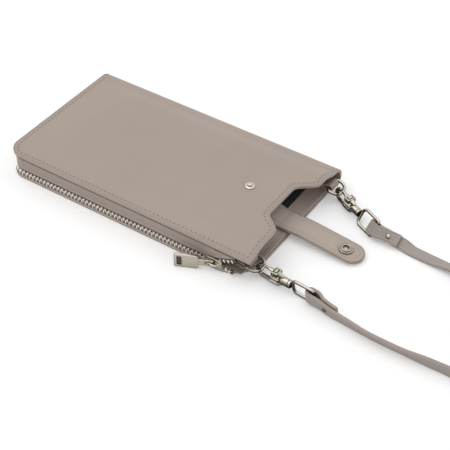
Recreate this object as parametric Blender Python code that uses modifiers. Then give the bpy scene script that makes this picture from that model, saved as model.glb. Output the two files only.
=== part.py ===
"""A leather crossbody wallet: telephone pocket, zipped compartment, closing tab and a strap on two hooks.

It lies on its back. The origin is the centre of the back face, +X points to the mouth, -Y to the zip side and
+Z up. Sizes are in metres, angles in degrees where the name says so.
"""

import math

import bmesh
import bpy
from mathutils import Matrix, Vector

# Driving sizes
wallet_length = 0.182
wallet_width = 0.106
zip_side_height = 0.018
fold_side_height = 0.016
crown_rise = 0.0036
leather = 0.0018
seam = 0.0003
strap_width = 0.0078
strap_thickness = 0.0019

# Outline of the panels
zip_corner_radius = 0.011
fold_corner_radius = 0.0045
crown_zip_run = 0.016
crown_fold_run = 0.014
crown_end_run = 0.035
notch_depth = 0.0113
notch_half_width = 0.013
notch_shoulder = 0.013
mouth_end = 0.0905
lower_mouth_end = 0.088
lower_mouth_radius = 0.021

# Walls inside
gusset_inset = 0.0012
gusset_thickness = 0.0013
gusset_flange = 0.009
gusset_foot_height = 0.0063
divider_thickness = 0.0016
divider_height = 0.0079
divider_inset = 0.0062
divider_fall_start = 0.064
divider_fall_end = 0.084
lining_thickness = 0.0004
card_leaf_thickness = 0.0008
card_leaf_length = 0.09
card_leaf_width = 0.066

# Zip
tape_thickness = 0.0005
tape_height = 0.0034
tape_flange = 0.009
tooth_pitch = 0.0034
tooth_width = 0.0017
tooth_height = 0.0021
tooth_overlap = 0.001
tooth_depth = 0.0017
tip_share = 0.6
cord_height = 0.0006
zip_start = 0.0795
zip_closed_at = 0.063
zip_rise = 0.0075
zip_end_from_fold = 0.014
lower_curl = 0.001
stop_length = 0.0018
slider_length = 0.011
slider_place = 0.066
slider_height = 0.0058
slider_plate = 0.0009
slider_post_width = 0.001
slider_post_length = 0.002
bridge_radius = 0.0006
bridge_length = 0.007
pull_thickness = 0.0018
pull_length = 0.0235
pull_tab_length = 0.0145
pull_tab_height = 0.0096
pull_neck_height = 0.0048
pull_slot_length = 0.003
pull_slot_height = 0.0066
pull_eye_length = 0.0042
pull_eye_height = 0.003
pull_bar_radius = 0.0005
pull_rest_degrees = 24.0

# Stud, closing tab and its snap
stud_place = 0.0564
stud_radius = 0.0031
stud_flange = 0.0006
stud_nipple_radius = 0.0016
stud_nipple_height = 0.0011
post_radius = 0.0012
post_hole_radius = 0.0015
base_radius = 0.0028
base_thickness = 0.0006
tab_width = 0.0164
tab_tip_margin = 0.012
tab_leather = 0.0014
tab_root_length = 0.0085
tab_fold_place = 0.0813
tab_rest_degrees = 6.0
closed_fold_place = 0.0825
socket_radius = 0.0045
socket_bore = 0.0021
socket_height = 0.0012
cap_radius = 0.0042
cap_thickness = 0.001

# Keepers, rings and hooks
keeper_edge_margin = 0.011
keeper_width = 0.008
keeper_leather = 0.0012
keeper_length = 0.0125
ring_bar_places = {-1: 0.0845, 1: 0.09}
ring_bar_height = 0.0074
ring_half_width = 0.006
ring_length = 0.008
ring_bow_share = 0.35
ring_wire_radius = 0.001
hook_height = 0.0054
hook_wire_radius = 0.0013
hook_half_width = 0.0039
hook_length = 0.0395
hook_rail_end = 0.0145
hook_shoulder_end = 0.0178
hook_shoulder_width = 0.0026
gate_tip = 0.0054
gate_pin_place = 0.0128
gate_radius = 0.0009
gate_eye_radius = 0.0015
gate_pin_radius = 0.0006
gate_pin_hole = 0.00072
gate_pin_length = 0.0042
ear_thickness = 0.0007
ear_radius = 0.0017
barrel_radius = 0.0026
barrel_length = 0.0042
swivel_hole = 0.00115
swivel_radius = 0.001
swivel_head_radius = 0.0014
swivel_head_length = 0.0013
swivel_collar_radius = 0.002
eye_start = 0.0252
eye_wire_radius = 0.001
eye_corner_radius = 0.003
eye_bar_corner_radius = 0.0012

# Heading of each hook in plan and roll of its eye about the hook's axis: -1 is the near side, 1 the far side
hook_headings = {-1: -5.0, 1: -25.5}
eye_rolls = {-1: -80.0, 1: 58.0}

# Strap: its folded ends, its route and its coil
fold_back_length = 0.0162
fold_slack = 0.002
strap_end_length = 0.018
rivet_place = 0.0094
rivet_radius = 0.0015
rivet_head = 0.0007
rivet_hole_radius = 0.0011
coil_inner_radius = 0.038
coil_pitch = 0.008
coil_near_turns = 1.45
coil_far_turns = 1.2
coil_centre = Vector((0.262, -0.0014, 0.0))
loop_points = 24

finishes = {}
parts = bpy.data.collections.new("wallet")
cutters = bpy.data.collections.new("cutters")


def clear_scene():
    for item in list(bpy.data.objects):
        bpy.data.objects.remove(item)
    bpy.context.scene.collection.children.link(parts)
    bpy.context.scene.collection.children.link(cutters)
    cutters.hide_render = True


def finish(name, colour, roughness, metallic):
    material = bpy.data.materials.new(name)
    material.use_nodes = True
    shader = material.node_tree.nodes["Principled BSDF"]
    shader.inputs["Base Color"].default_value = (*colour, 1.0)
    shader.inputs["Roughness"].default_value = roughness
    shader.inputs["Metallic"].default_value = metallic
    finishes[name] = material


def make_finishes():
    finish("taupe_leather", (0.41, 0.34, 0.30), 0.55, 0.0)
    finish("tab_leather", (0.41, 0.34, 0.30), 0.55, 0.0)
    finish("strap_leather", (0.39, 0.32, 0.28), 0.5, 0.0)
    finish("dark_lining", (0.02, 0.018, 0.017), 0.9, 0.0)
    finish("zip_tape", (0.33, 0.27, 0.24), 0.85, 0.0)
    finish("nickel", (0.78, 0.75, 0.70), 0.18, 1.0)


def smooth(value):
    share = min(1.0, max(0.0, value))
    return share * share * (3.0 - 2.0 * share)


def blend(first, last, share):
    return first + (last - first) * share


# Objects from meshes, sheets, curves and turned profiles


def add_object(name, data, finish_name, collection=parts):
    item = bpy.data.objects.new(name, data)
    collection.objects.link(item)
    if finish_name:
        data.materials.append(finishes[finish_name])
    return item


def mesh_object(name, bm, finish_name, collection=parts):
    mesh = bpy.data.meshes.new(name)
    bm.to_mesh(mesh)
    bm.free()
    return add_object(name, mesh, finish_name, collection)


def sheet(name, place, along, across, thickness, finish_name):
    """A sheet of this thickness about the surface that place() gives at each pair of stations."""
    bm = bmesh.new()
    bmesh.ops.create_grid(bm, x_segments=len(along) - 1, y_segments=len(across) - 1, size=1)
    for vertex in bm.verts:
        column = round((vertex.co.x + 1) / 2 * (len(along) - 1))
        row = round((vertex.co.y + 1) / 2 * (len(across) - 1))
        vertex.co = place(along[column], across[row])
    item = mesh_object(name, bm, finish_name)
    solid = item.modifiers.new("thickness", "SOLIDIFY")
    solid.thickness = thickness
    solid.offset = 0.0
    solid.use_even_offset = True
    return item


def wire(name, points, radius, finish_name, closed=False, resolution=2, collection=parts):
    curve = bpy.data.curves.new(name, "CURVE")
    curve.dimensions = "3D"
    curve.bevel_depth = radius
    curve.bevel_resolution = resolution
    curve.use_fill_caps = True
    spline = curve.splines.new("POLY")
    spline.points.add(len(points) - 1)
    for point, place in zip(spline.points, points):
        point.co = (*place, 1.0)
    spline.use_cyclic_u = closed
    return add_object(name, curve, finish_name, collection)


def plate(name, outline, thickness, finish_name, collection=parts):
    """A flat plate in its own X-Y plane, centred on it."""
    curve = bpy.data.curves.new(name, "CURVE")
    curve.dimensions = "2D"
    curve.fill_mode = "BOTH"
    curve.extrude = thickness / 2
    spline = curve.splines.new("POLY")
    spline.points.add(len(outline) - 1)
    for point, place in zip(spline.points, outline):
        point.co = (place[0], place[1], 0.0, 1.0)
    spline.use_cyclic_u = True
    return add_object(name, curve, finish_name, collection)


def turned(name, profile, finish_name, steps=24, collection=parts):
    """A solid turned about its own Z from (radius, height) points that run down the outside."""
    bm = bmesh.new()
    corners = [bm.verts.new((radius, 0.0, height)) for radius, height in profile]
    for first, last in zip(corners, corners[1:]):
        bm.edges.new((first, last))
    item = mesh_object(name, bm, finish_name, collection)
    screw = item.modifiers.new("turn", "SCREW")
    screw.steps = steps
    screw.render_steps = steps
    screw.use_merge_vertices = True
    screw.merge_threshold = seam / 100
    return item


def box(name, low, high, finish_name, collection=parts):
    bm = bmesh.new()
    bmesh.ops.create_cube(bm, size=1)
    size = Vector(high) - Vector(low)
    middle = (Vector(high) + Vector(low)) / 2
    bmesh.ops.scale(bm, vec=size, verts=bm.verts)
    bmesh.ops.translate(bm, vec=middle, verts=bm.verts)
    return mesh_object(name, bm, finish_name, collection)


def as_mesh(item):
    """The same object with its curve made a mesh, so that it can be cut and joined."""
    bpy.context.view_layer.update()
    graph = bpy.context.evaluated_depsgraph_get()
    mesh = bpy.data.meshes.new_from_object(item.evaluated_get(graph))
    bm = bmesh.new()
    bm.from_mesh(mesh)
    bmesh.ops.remove_doubles(bm, verts=bm.verts, dist=seam / 100)
    bm.to_mesh(mesh)
    bm.free()
    name = item.name
    collection = item.users_collection[0]
    place = item.matrix_world.copy()
    bpy.data.objects.remove(item)
    solid = bpy.data.objects.new(name, mesh)
    collection.objects.link(solid)
    solid.matrix_world = place
    return solid


def combine(item, other, operation):
    other.hide_render = True
    other.display_type = "WIRE"
    step = item.modifiers.new(operation.lower(), "BOOLEAN")
    step.operation = operation
    step.solver = "EXACT"
    step.object = other


def round_off(item, degrees=40):
    """Smooth shading on a round piece, with its sharp edges kept."""
    if item.type == "MESH":
        item.data.shade_smooth()
        item.data.set_sharp_from_angle(angle=math.radians(degrees))


def arc(centre, radius, first_degrees, last_degrees, steps):
    turns = [math.radians(blend(first_degrees, last_degrees, step / steps)) for step in range(steps + 1)]
    return [(centre[0] + radius * math.cos(turn), centre[1] + radius * math.sin(turn)) for turn in turns]


eye_half_width = strap_width / 2 + seam + eye_wire_radius


# The wallet's outline and heights

half_length = wallet_length / 2
half_width = wallet_width / 2
fold_radius = fold_side_height / 2
fold_centre = half_width - fold_radius


def base_height(y):
    share = (y + half_width) / (fold_centre + half_width)
    return blend(zip_side_height, fold_side_height, min(1.0, share))


def front_height(x, y):
    """Height of the front panel's outer face."""
    across = smooth((y + half_width) / crown_zip_run) * smooth((fold_centre - y) / crown_fold_run)
    along = smooth((x + half_length) / crown_end_run)
    return base_height(y) + crown_rise * across * along


def front_mouth(y):
    """Edge of the front panel at the mouth, with its scooped notch."""
    return mouth_end - notch_depth * (1.0 - smooth((abs(y) - notch_half_width) / notch_shoulder))


def lower_mouth(y):
    """Edge of the back panel and the divider at the mouth."""
    run = lower_mouth_radius - (y + half_width)
    if run <= 0.0:
        return lower_mouth_end
    return lower_mouth_end - lower_mouth_radius + math.sqrt(lower_mouth_radius**2 - run**2)


def closed_end(y, inset):
    """The wallet's closed end at y, moved in by an inset, round its two corners."""
    zip_radius = zip_corner_radius - inset
    run = zip_radius - (y + half_width - inset)
    if run > 0.0:
        return zip_corner_radius - half_length - math.sqrt(max(0.0, zip_radius**2 - run**2))
    run = fold_corner_radius - (half_width - y)
    if run > 0.0 and inset < fold_corner_radius:
        return fold_corner_radius - half_length - math.sqrt(fold_corner_radius**2 - run**2) + inset
    return inset - half_length


def divider_middle(x):
    fall = smooth((x - divider_fall_start) / (divider_fall_end - divider_fall_start))
    mouth_height = leather + seam + tape_thickness + seam
    return blend(divider_height, mouth_height, fall) + divider_thickness / 2


def divider_top(x):
    return divider_middle(x) + divider_thickness / 2


def zip_side(distance, inset):
    """A point on the zip side's path, this far round from the mouth end, and the way in from the edge."""
    radius = zip_corner_radius - inset
    straight = mouth_end - (zip_corner_radius - half_length)
    corner = radius * math.pi / 2
    if distance <= straight:
        return Vector((mouth_end - distance, inset - half_width, 0.0)), Vector((0.0, 1.0, 0.0))
    if distance <= straight + corner:
        turn = (distance - straight) / radius
        inward = Vector((math.sin(turn), math.cos(turn), 0.0))
        centre = Vector((zip_corner_radius - half_length, zip_corner_radius - half_width, 0.0))
        return centre - inward * radius, inward
    y = zip_corner_radius - half_width + distance - straight - corner
    return Vector((inset - half_length, y, 0.0)), Vector((1.0, 0.0, 0.0))


def zip_side_length(inset):
    radius = zip_corner_radius - inset
    straight = mouth_end - (zip_corner_radius - half_length)
    return straight + radius * math.pi / 2 + fold_centre - (zip_corner_radius - half_width)


def zip_opening(x):
    """How far the upper row has come up from the lower one at x, in front of the slider."""
    share = min(1.0, max(0.0, (x - zip_closed_at) / (zip_start - zip_closed_at)))
    return zip_rise * share


def side_stations(inset, first, last):
    """Distances round the zip side: close together at the mouth and in the corner."""
    straight = mouth_end - (zip_corner_radius - half_length)
    corner = (zip_corner_radius - inset) * math.pi / 2
    open_run = mouth_end - zip_closed_at
    shares = [step / 5 for step in range(6)]
    places = [open_run * step / 8 for step in range(9)]
    places += [blend(open_run, straight, share) for share in shares[1:-1]]
    places += [straight + corner * share for share in shares]
    places += [blend(straight + corner, zip_side_length(inset), share) for share in shares[1:]]
    return [first] + [place for place in places if first + tooth_width < place < last - tooth_width] + [last]


# Leather walls

end_shares = [0.0, 0.02, 0.06, 0.12, 0.2, 0.32, 0.46, 0.6, 0.74, 0.86, 0.95, 1.0]


def corner_rows():
    """Places across the zip corner, close together where it is steep."""
    return [zip_corner_radius * (1.0 - math.cos(math.pi / 2 * step / 4)) - half_width for step in range(5)]


def notch_rows():
    shares = [0.0, 0.15, 0.35, 0.5, 0.65, 0.85, 1.0]
    side = [notch_half_width + notch_shoulder * share for share in shares]
    return [-row for row in reversed(side)] + [-notch_half_width / 2, 0.0, notch_half_width / 2] + side


corner_row_share = 0.15625


def outer_wrap():
    """One piece of leather: front panel, fold and back panel."""
    shoulder = notch_half_width + notch_shoulder
    front_rows = corner_rows() + [blend(corner_rows()[-1], -shoulder, corner_row_share)] + notch_rows()
    front_rows += [blend(shoulder, fold_centre, share) for share in (0.35, 0.7)]
    front = [("front", y) for y in front_rows]
    fold = [("fold", 90 - 180 * step / 8) for step in range(9)]
    lower_rows = [blend(fold_centre, lower_mouth_radius - half_width, share) for share in (0.3, 0.65, 1.0)]
    back = [("back", y) for y in lower_rows + list(reversed(corner_rows()[:-1]))]
    middle_radius = fold_radius - leather / 2

    def place(share, station):
        kind, value = station
        if kind == "front":
            x = blend(closed_end(value, 0.0), front_mouth(value), share)
            return Vector((x, value, front_height(x, value) - leather / 2))
        if kind == "back":
            x = blend(closed_end(value, 0.0), lower_mouth(value), share)
            return Vector((x, value, leather / 2))
        turn = math.radians(value)
        y = fold_centre + middle_radius * math.cos(turn)
        z = fold_radius + middle_radius * math.sin(turn)
        mouth = blend(lower_mouth_end, mouth_end, smooth((value + 90) / 45))
        return Vector((blend(closed_end(y, 0.0), mouth, share), y, z))

    item = sheet("outer_wrap", place, end_shares, front + fold + back, leather, "taupe_leather")
    hole = turned("stud_hole", disc_profile(post_hole_radius, -leather * 2, leather * 2), None, 16, cutters)
    hole.location = (stud_place, 0.0, front_height(stud_place, 0.0) - leather / 2)
    combine(item, hole, "DIFFERENCE")


def disc_profile(radius, low, high):
    return [(0.0, high), (radius, high), (radius, low), (0.0, low)]


def ring_profile(outer, inner, low, high):
    return [(inner, high), (outer, high), (outer, low), (inner, low), (inner, high)]


def gusset():
    """The wall under the front panel's edge, turned in along its top as a flange for the stitches."""
    middle = gusset_inset + gusset_thickness / 2
    start = mouth_end - zip_start
    end = zip_side_length(middle)
    profile = ["foot", "waist", "shoulder", "turn", "flange"]

    def place(distance, part):
        point, inward = zip_side(distance, middle)
        top = base_height(point.y) - leather - seam - gusset_thickness / 2
        foot = min(gusset_foot_height + zip_opening(point.x), top - gusset_thickness * 1.5)
        insets = {"turn": gusset_thickness / 2, "flange": gusset_flange - middle}
        heights = {"foot": foot, "waist": blend(foot, top, 0.5), "shoulder": top - gusset_thickness / 2}
        if part == "flange":
            point, inward = zip_side(distance, middle)
            reach = min(insets[part], zip_corner_radius - middle - seam)
            return point + inward * reach + Vector((0.0, 0.0, top))
        return point + inward * insets.get(part, 0.0) + Vector((0.0, 0.0, heights.get(part, top)))

    sheet("gusset", place, side_stations(middle, start, end), profile, gusset_thickness, "taupe_leather")


def divider_far_edge(x):
    reach = abs(divider_middle(x) - fold_radius) + divider_thickness / 2
    inner = fold_radius - leather - seam * 2
    return fold_centre + math.sqrt(max(0.0, inner**2 - reach**2)) - seam


def divider():
    near = divider_inset - half_width
    places = [blend(near, zip_corner_radius - half_width, step / 2) for step in range(3)]
    places += [blend(zip_corner_radius - half_width, fold_centre, share) for share in (0.3, 0.65, 1.0)]
    shares = [0.0, 0.3, 0.6, 0.84, 0.862, 0.885, 0.908, 0.93, 0.953, 0.977, 1.0]

    def place(share, y):
        x = blend(closed_end(y, divider_inset), lower_mouth(y), share)
        if y == places[-1]:
            y = divider_far_edge(x)
        return Vector((x, y, divider_middle(x)))

    sheet("divider", place, shares, places, divider_thickness, "taupe_leather")


def front_lining():
    inset = zip_corner_radius + seam
    near = inset - half_width
    crowned = crown_zip_run - half_width
    rows = [near] + [blend(crowned, -crowned, share) for share in (0.0, 0.2, 0.4, 0.6, 0.8, 1.0)]
    rows += [fold_centre - crown_fold_run / 2, fold_centre]
    depth = leather + seam * 2 + lining_thickness / 2

    def place(share, y):
        x = blend(inset - half_length, front_mouth(0.0) - seam * 2, share)
        return Vector((x, y, front_height(x, y) - depth))

    item = sheet("front_lining", place, end_shares[::2] + [1.0], rows, lining_thickness, "dark_lining")
    hole_profile = disc_profile(base_radius + seam, -leather * 2, leather * 2)
    hole = turned("lining_hole", hole_profile, None, 16, cutters)
    hole.location = (stud_place, 0.0, front_height(stud_place, 0.0) - leather)
    combine(item, hole, "DIFFERENCE")


def back_lining():
    base = divider_height + divider_thickness + seam
    low = (zip_corner_radius - half_length, divider_inset + seam - half_width, base)
    high = (divider_fall_start - seam, fold_centre, base + lining_thickness)
    box("back_lining", low, high, "dark_lining")


def card_pocket():
    """A leaf sewn under the divider, for cards."""
    top = divider_height - seam
    low = (-card_leaf_length * 0.6, -card_leaf_width / 2, top - card_leaf_thickness)
    high = (card_leaf_length * 0.4, card_leaf_width / 2, top)
    box("card_pocket", low, high, "tab_leather")


# Zip

tape_inset = gusset_inset + gusset_thickness + seam + tape_thickness / 2
row_inset = gusset_inset - tooth_depth / 2 + gusset_thickness
lower_row_height = leather + seam + tooth_height / 2
upper_row_height = lower_row_height + tooth_height - tooth_overlap
row_end = zip_side_length(row_inset) - zip_end_from_fold


def lower_row_curl(x):
    """How far the open end of the lower row lies outward over the back panel's edge."""
    slider_end = slider_place + slider_length / 2
    return lower_curl * smooth((x - slider_end) / (zip_start - slider_end))


def tapes():
    start = mouth_end - zip_start - stop_length * 2
    end = zip_side_length(tape_inset)

    def upper(distance, part):
        point, _ = zip_side(distance, tape_inset)
        low = upper_row_height + zip_opening(point.x)
        under_flange = base_height(point.y) - leather - gusset_thickness - seam * 3
        return point + Vector((0.0, 0.0, low if part == "edge" else min(low + tape_height, under_flange)))

    def lower(distance, part):
        point, inward = zip_side(distance, tape_inset)
        base = leather + seam + tape_thickness / 2
        if part == "edge":
            return point - inward * lower_row_curl(point.x) + Vector((0.0, 0.0, lower_row_height))
        reach = 0.0 if part == "bend" else min(tape_flange, zip_corner_radius - tape_inset - seam)
        return point + inward * reach + Vector((0.0, 0.0, base))

    stations = side_stations(tape_inset, start, end)
    sheet("zip_tape_upper", upper, stations, ["edge", "top"], tape_thickness, "zip_tape")
    sheet("zip_tape_lower", lower, stations, ["edge", "bend", "flange"], tape_thickness, "zip_tape")


def row_point(distance, inset, upper):
    """A point of a row's centre line, with the way in from the edge there."""
    point, inward = zip_side(distance, inset)
    if upper:
        return point + Vector((0.0, 0.0, upper_row_height + zip_opening(point.x))), inward
    return point - inward * lower_row_curl(point.x) + Vector((0.0, 0.0, lower_row_height)), inward


def teeth(name, phase, upper):
    """One row of teeth standing on its cord like a comb: down from it, or up from it."""
    sign = 1.0 if upper else -1.0
    columns = []
    start = mouth_end - zip_start + phase
    for index in range(int((row_end - start) / tooth_pitch)):
        middle = start + tooth_pitch * index
        for half, tip in ((-tooth_width / 2, 0.0), (-tooth_width * tip_share / 2, 1.0),
                          (tooth_width * tip_share / 2, 1.0), (tooth_width / 2, 0.0)):
            columns.append((middle + half, tip))

    def place(column, part):
        distance, tip = column
        point, _ = row_point(distance, row_inset, upper)
        back = tooth_height / 2
        edge = back if part == "cord" else blend(back - cord_height, -back, tip)
        return point + Vector((0.0, 0.0, sign * edge))

    sheet(name, place, columns, ["cord", "tips"], tooth_depth, "nickel")


def zip_stops():
    """Top stops at the open ends of both rows, and the bottom stop that joins them."""
    rows = (("zip_top_stop_upper", tooth_pitch / 2, True), ("zip_top_stop_lower", tooth_pitch, False))
    for name, phase, upper in rows:
        distance = mouth_end - zip_start + phase - tooth_width / 2 - seam - stop_length / 2
        middle, _ = row_point(distance, row_inset, upper)
        size = Vector((stop_length, tooth_depth, tooth_height))
        box(name, middle - size / 2, middle + size / 2, "nickel")
    end_point, _ = zip_side(row_end, row_inset)
    low = (end_point.x - tooth_depth / 2, end_point.y + tooth_width, leather + seam)
    high = (end_point.x + tooth_depth / 2, low[1] + stop_length * 2, gusset_foot_height - seam)
    box("zip_bottom_stop", low, high, "nickel")


def slider():
    """Two plates round the rows, joined by a post between the open ends, with a bridge for the pull."""
    outer_y = row_inset - tooth_depth / 2 - seam - half_width
    inner_y = tape_inset + tape_thickness / 2 + seam - half_width
    back = slider_place - slider_length / 2
    front = slider_place + slider_length / 2
    low_z = leather + seam
    high_z = low_z + slider_height
    item = box("zip_slider", (back, outer_y - slider_plate, low_z), (front, outer_y, high_z), "nickel")
    inner_low = leather + seam + tape_thickness + seam
    inner_high = divider_height - seam * 3
    inside_high = (front, inner_y + slider_plate, inner_high)
    inside = box("slider_inside", (back, inner_y, inner_low), inside_high, None, cutters)
    post_z = lower_row_height + tooth_height / 2 + seam
    post_low = (front - slider_post_length, outer_y - slider_plate / 2, post_z)
    post_high = (front - seam, inner_y + slider_plate / 2, post_z + slider_post_width)
    post = box("slider_post", post_low, post_high, None, cutters)
    middle_z = (low_z + high_z) / 2
    turn_shares = [0.0, 0.2, 0.5, 0.8, 1.0]
    span = [slider_place + bridge_length * (share - 0.5) for share in turn_shares]
    bridge_reach = slider_plate + seam * 2 + pull_bar_radius * 2 + bridge_radius
    reach = [outer_y - slider_plate * 0.6, outer_y - bridge_reach * 0.9, outer_y - bridge_reach]
    reach += [reach[1], reach[0]]
    points = [(x, y, middle_z) for x, y in zip(span, reach)]
    bridge = as_mesh(wire("slider_bridge", points, bridge_radius, None, collection=cutters))
    for other in (inside, post, bridge):
        combine(item, other, "UNION")
    return outer_y, middle_z


def rounded_outline(length, height, radius, centre_x):
    points = []
    for corner_x, corner_y, first in ((1, 1, 0), (-1, 1, 90), (-1, -1, 180), (1, -1, 270)):
        centre = (centre_x + corner_x * (length / 2 - radius), corner_y * (height / 2 - radius))
        points += arc(centre, radius, first, first + 90, 3)
    return points


def zip_pull(outer_y, middle_z):
    """A cast pull with an eye round the bridge and a slot near its end, swinging about Z on the bridge."""
    pivot = Vector((slider_place, outer_y - slider_plate - seam - pull_bar_radius, middle_z))
    hanger = bpy.data.objects.new("zip_pull_axis", None)
    parts.objects.link(hanger)
    hanger.location = pivot
    hanger.rotation_euler = (0.0, 0.0, math.radians(180 + pull_rest_degrees))
    end = pull_length - pull_bar_radius
    tab_middle = end - pull_tab_length / 2
    tab = plate("zip_pull", rounded_outline(pull_tab_length, pull_tab_height, pull_thickness / 2, tab_middle),
                pull_thickness, "nickel")
    tab.parent = hanger
    tab.rotation_euler = (math.radians(90), 0.0, 0.0)
    tab = as_mesh_of_child(tab, hanger)
    tab.data.materials.append(finishes["nickel"])
    neck_length = end - pull_tab_length + pull_bar_radius * 2
    neck_middle = neck_length / 2 - pull_bar_radius
    neck = plate("pull_neck", rounded_outline(neck_length, pull_neck_height, pull_bar_radius, neck_middle),
                 pull_bar_radius * 2, None, cutters)
    eye_middle = pull_bar_radius + pull_eye_length / 2
    eye = plate("pull_eye", rounded_outline(pull_eye_length, pull_eye_height, pull_bar_radius, eye_middle),
                pull_thickness * 3, None, cutters)
    slot_middle = end - pull_slot_length * 1.1
    slot = plate("pull_slot", rounded_outline(pull_slot_length, pull_slot_height, pull_bar_radius, slot_middle),
                 pull_thickness * 3, None, cutters)
    for other, operation in ((neck, "UNION"), (eye, "DIFFERENCE"), (slot, "DIFFERENCE")):
        other.parent = hanger
        other.rotation_euler = (math.radians(90), 0.0, 0.0)
        combine(tab, as_mesh_of_child(other, hanger), operation)


def as_mesh_of_child(item, parent):
    """as_mesh() for an object that hangs on an empty: it keeps hanging there."""
    bpy.context.view_layer.update()
    solid = as_mesh(item)
    world = solid.matrix_world.copy()
    solid.parent = parent
    solid.matrix_parent_inverse = parent.matrix_world.inverted()
    solid.matrix_world = world
    return solid


# Stud, closing tab and snap

panel_top = front_height(stud_place, 0.0)
tab_fold_height = divider_top(tab_fold_place) + seam * 2 + tab_leather
closed_height = panel_top + seam * 3 + stud_flange + socket_height
riser_length = math.hypot(closed_fold_place - tab_fold_place, closed_height - tab_fold_height)
flap_reach = closed_fold_place - stud_place
flap_fold_place = tab_fold_place + riser_length


def stud():
    low = seam
    profile = [(0.0, low + stud_flange + stud_nipple_height)]
    profile += [(stud_nipple_radius * 0.8, low + stud_flange + stud_nipple_height)]
    profile += [(stud_nipple_radius, low + stud_flange + stud_nipple_height * 0.7)]
    profile += [(stud_nipple_radius, low + stud_flange), (stud_radius, low + stud_flange * 0.6)]
    profile += [(stud_radius, low)]
    profile += [(post_radius, low), (post_radius, -leather - seam * 0.5), (0.0, -leather - seam * 0.5)]
    item = turned("stud", profile, "nickel")
    item.location = (stud_place, 0.0, panel_top)
    round_off(item)
    base = turned("stud_base", disc_profile(base_radius, -base_thickness, 0.0), "nickel")
    base.location = (stud_place, 0.0, panel_top - leather - seam)
    round_off(base)


def tab_outline(length):
    """Flap outline from its fold to the round end, with X along it."""
    half = tab_width / 2
    return [(0.0, -half)] + arc((length - half, 0.0), half, -90, 90, 12) + [(0.0, half)]


def closing_tab():
    start = tab_fold_place - tab_root_length
    end = tab_fold_place - seam / 2
    half = tab_width / 2

    def root(share, y):
        x = blend(start, end, share)
        on_divider = divider_top(x) + seam * 2 + tab_leather / 2
        return Vector((x, y, on_divider))

    shares = [step / 6 for step in range(7)]
    sheet("tab_root", root, shares, [-half, 0.0, half], tab_leather, "tab_leather")
    low = (seam / 2, -half, -tab_leather)
    high = (riser_length - seam / 2, half, 0.0)
    riser = box("tab_riser", low, high, "tab_leather")
    riser.location = (tab_fold_place, 0.0, tab_fold_height)
    hanger = bpy.data.objects.new("tab_flap_axis", None)
    parts.objects.link(hanger)
    hanger.location = (flap_fold_place, 0.0, tab_fold_height)
    hanger.rotation_euler = (0.0, math.radians(tab_rest_degrees), 0.0)
    flap_start = seam / 2 + tab_leather * math.sin(math.radians(tab_rest_degrees))
    outline = tab_outline(flap_reach + tab_tip_margin)
    outline[0] = (flap_start, outline[0][1])
    outline[-1] = (flap_start, outline[-1][1])
    flap = plate("tab_flap", outline, tab_leather, "tab_leather")
    flap.parent = hanger
    flap.location = (0.0, 0.0, -tab_leather / 2)
    flap = as_mesh_of_child(flap, hanger)
    hole = turned("snap_hole", disc_profile(post_hole_radius, -leather * 2, leather * 2), None, 16, cutters)
    socket = turned("snap_socket", ring_profile(socket_radius, socket_bore, 0.0, socket_height), "nickel")
    cap_post = tab_leather + seam * 2
    cap_profile = [(0.0, cap_post), (post_radius, cap_post), (post_radius, 0.0), (cap_radius * 0.9, 0.0)]
    cap_profile += [(cap_radius, -cap_thickness * 0.4), (cap_radius * 0.85, -cap_thickness)]
    cap_profile += [(0.0, -cap_thickness)]
    cap = turned("snap_cap", cap_profile, "nickel")
    for item, height in ((hole, 0.0), (socket, seam), (cap, -tab_leather - seam)):
        item.parent = hanger
        item.location = (flap_reach, 0.0, height)
    combine(flap, hole, "DIFFERENCE")
    flap.data.materials.append(finishes["tab_leather"])
    round_off(socket)
    round_off(cap)


# Keepers, D-rings and hooks

keeper_place = wallet_width / 2 - keeper_edge_margin


def keeper(name, side):
    """A leather strip that lies on the divider, loops round the ring's bar and comes back."""
    bar = ring_bar_places[side]
    loop = ring_wire_radius + seam + keeper_leather / 2
    start = bar - keeper_length
    steps = [start + (bar - loop - start) * share for share in (0.0, 0.3, 0.6, 0.85)]
    under = [(x, max(divider_top(x) + seam * 2, leather + seam) + keeper_leather / 2) for x in steps]
    around = arc((bar, ring_bar_height), loop, -110, 110, 8)
    over = [(x, z + keeper_leather + seam * 1.5) for x, z in reversed(under)]
    over[0] = (over[0][0], blend(over[0][1], around[-1][1], 0.5))
    route = under + around + over

    def place(point, share):
        return Vector((point[0], side * keeper_place + keeper_width * (share - 0.5), point[1]))

    sheet(name, place, route, [0.0, 1.0], keeper_leather, "taupe_leather")


def ring_points():
    """Centre line of a D-ring, straight bar at x = 0."""
    corner = ring_wire_radius * 1.5
    points = arc((corner, corner - ring_half_width), corner, 180, 270, 3)
    points += [bow_point(math.radians(turn)) for turn in range(-90, 91, 18)]
    points += arc((corner, ring_half_width - corner), corner, 90, 180, 3)
    return points


def bow_point(turn):
    start = ring_length * ring_bow_share
    return start + (ring_length - start) * math.cos(turn), ring_half_width * math.sin(turn)


ring_drop = math.asin((ring_bar_height - hook_height) / ring_length)


def ring(name, side):
    item = wire(name, [(x, y, 0.0) for x, y in ring_points()], ring_wire_radius, "nickel", closed=True)
    item.location = (ring_bar_places[side], side * keeper_place, ring_bar_height)
    item.rotation_euler = (0.0, ring_drop, 0.0)


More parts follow.
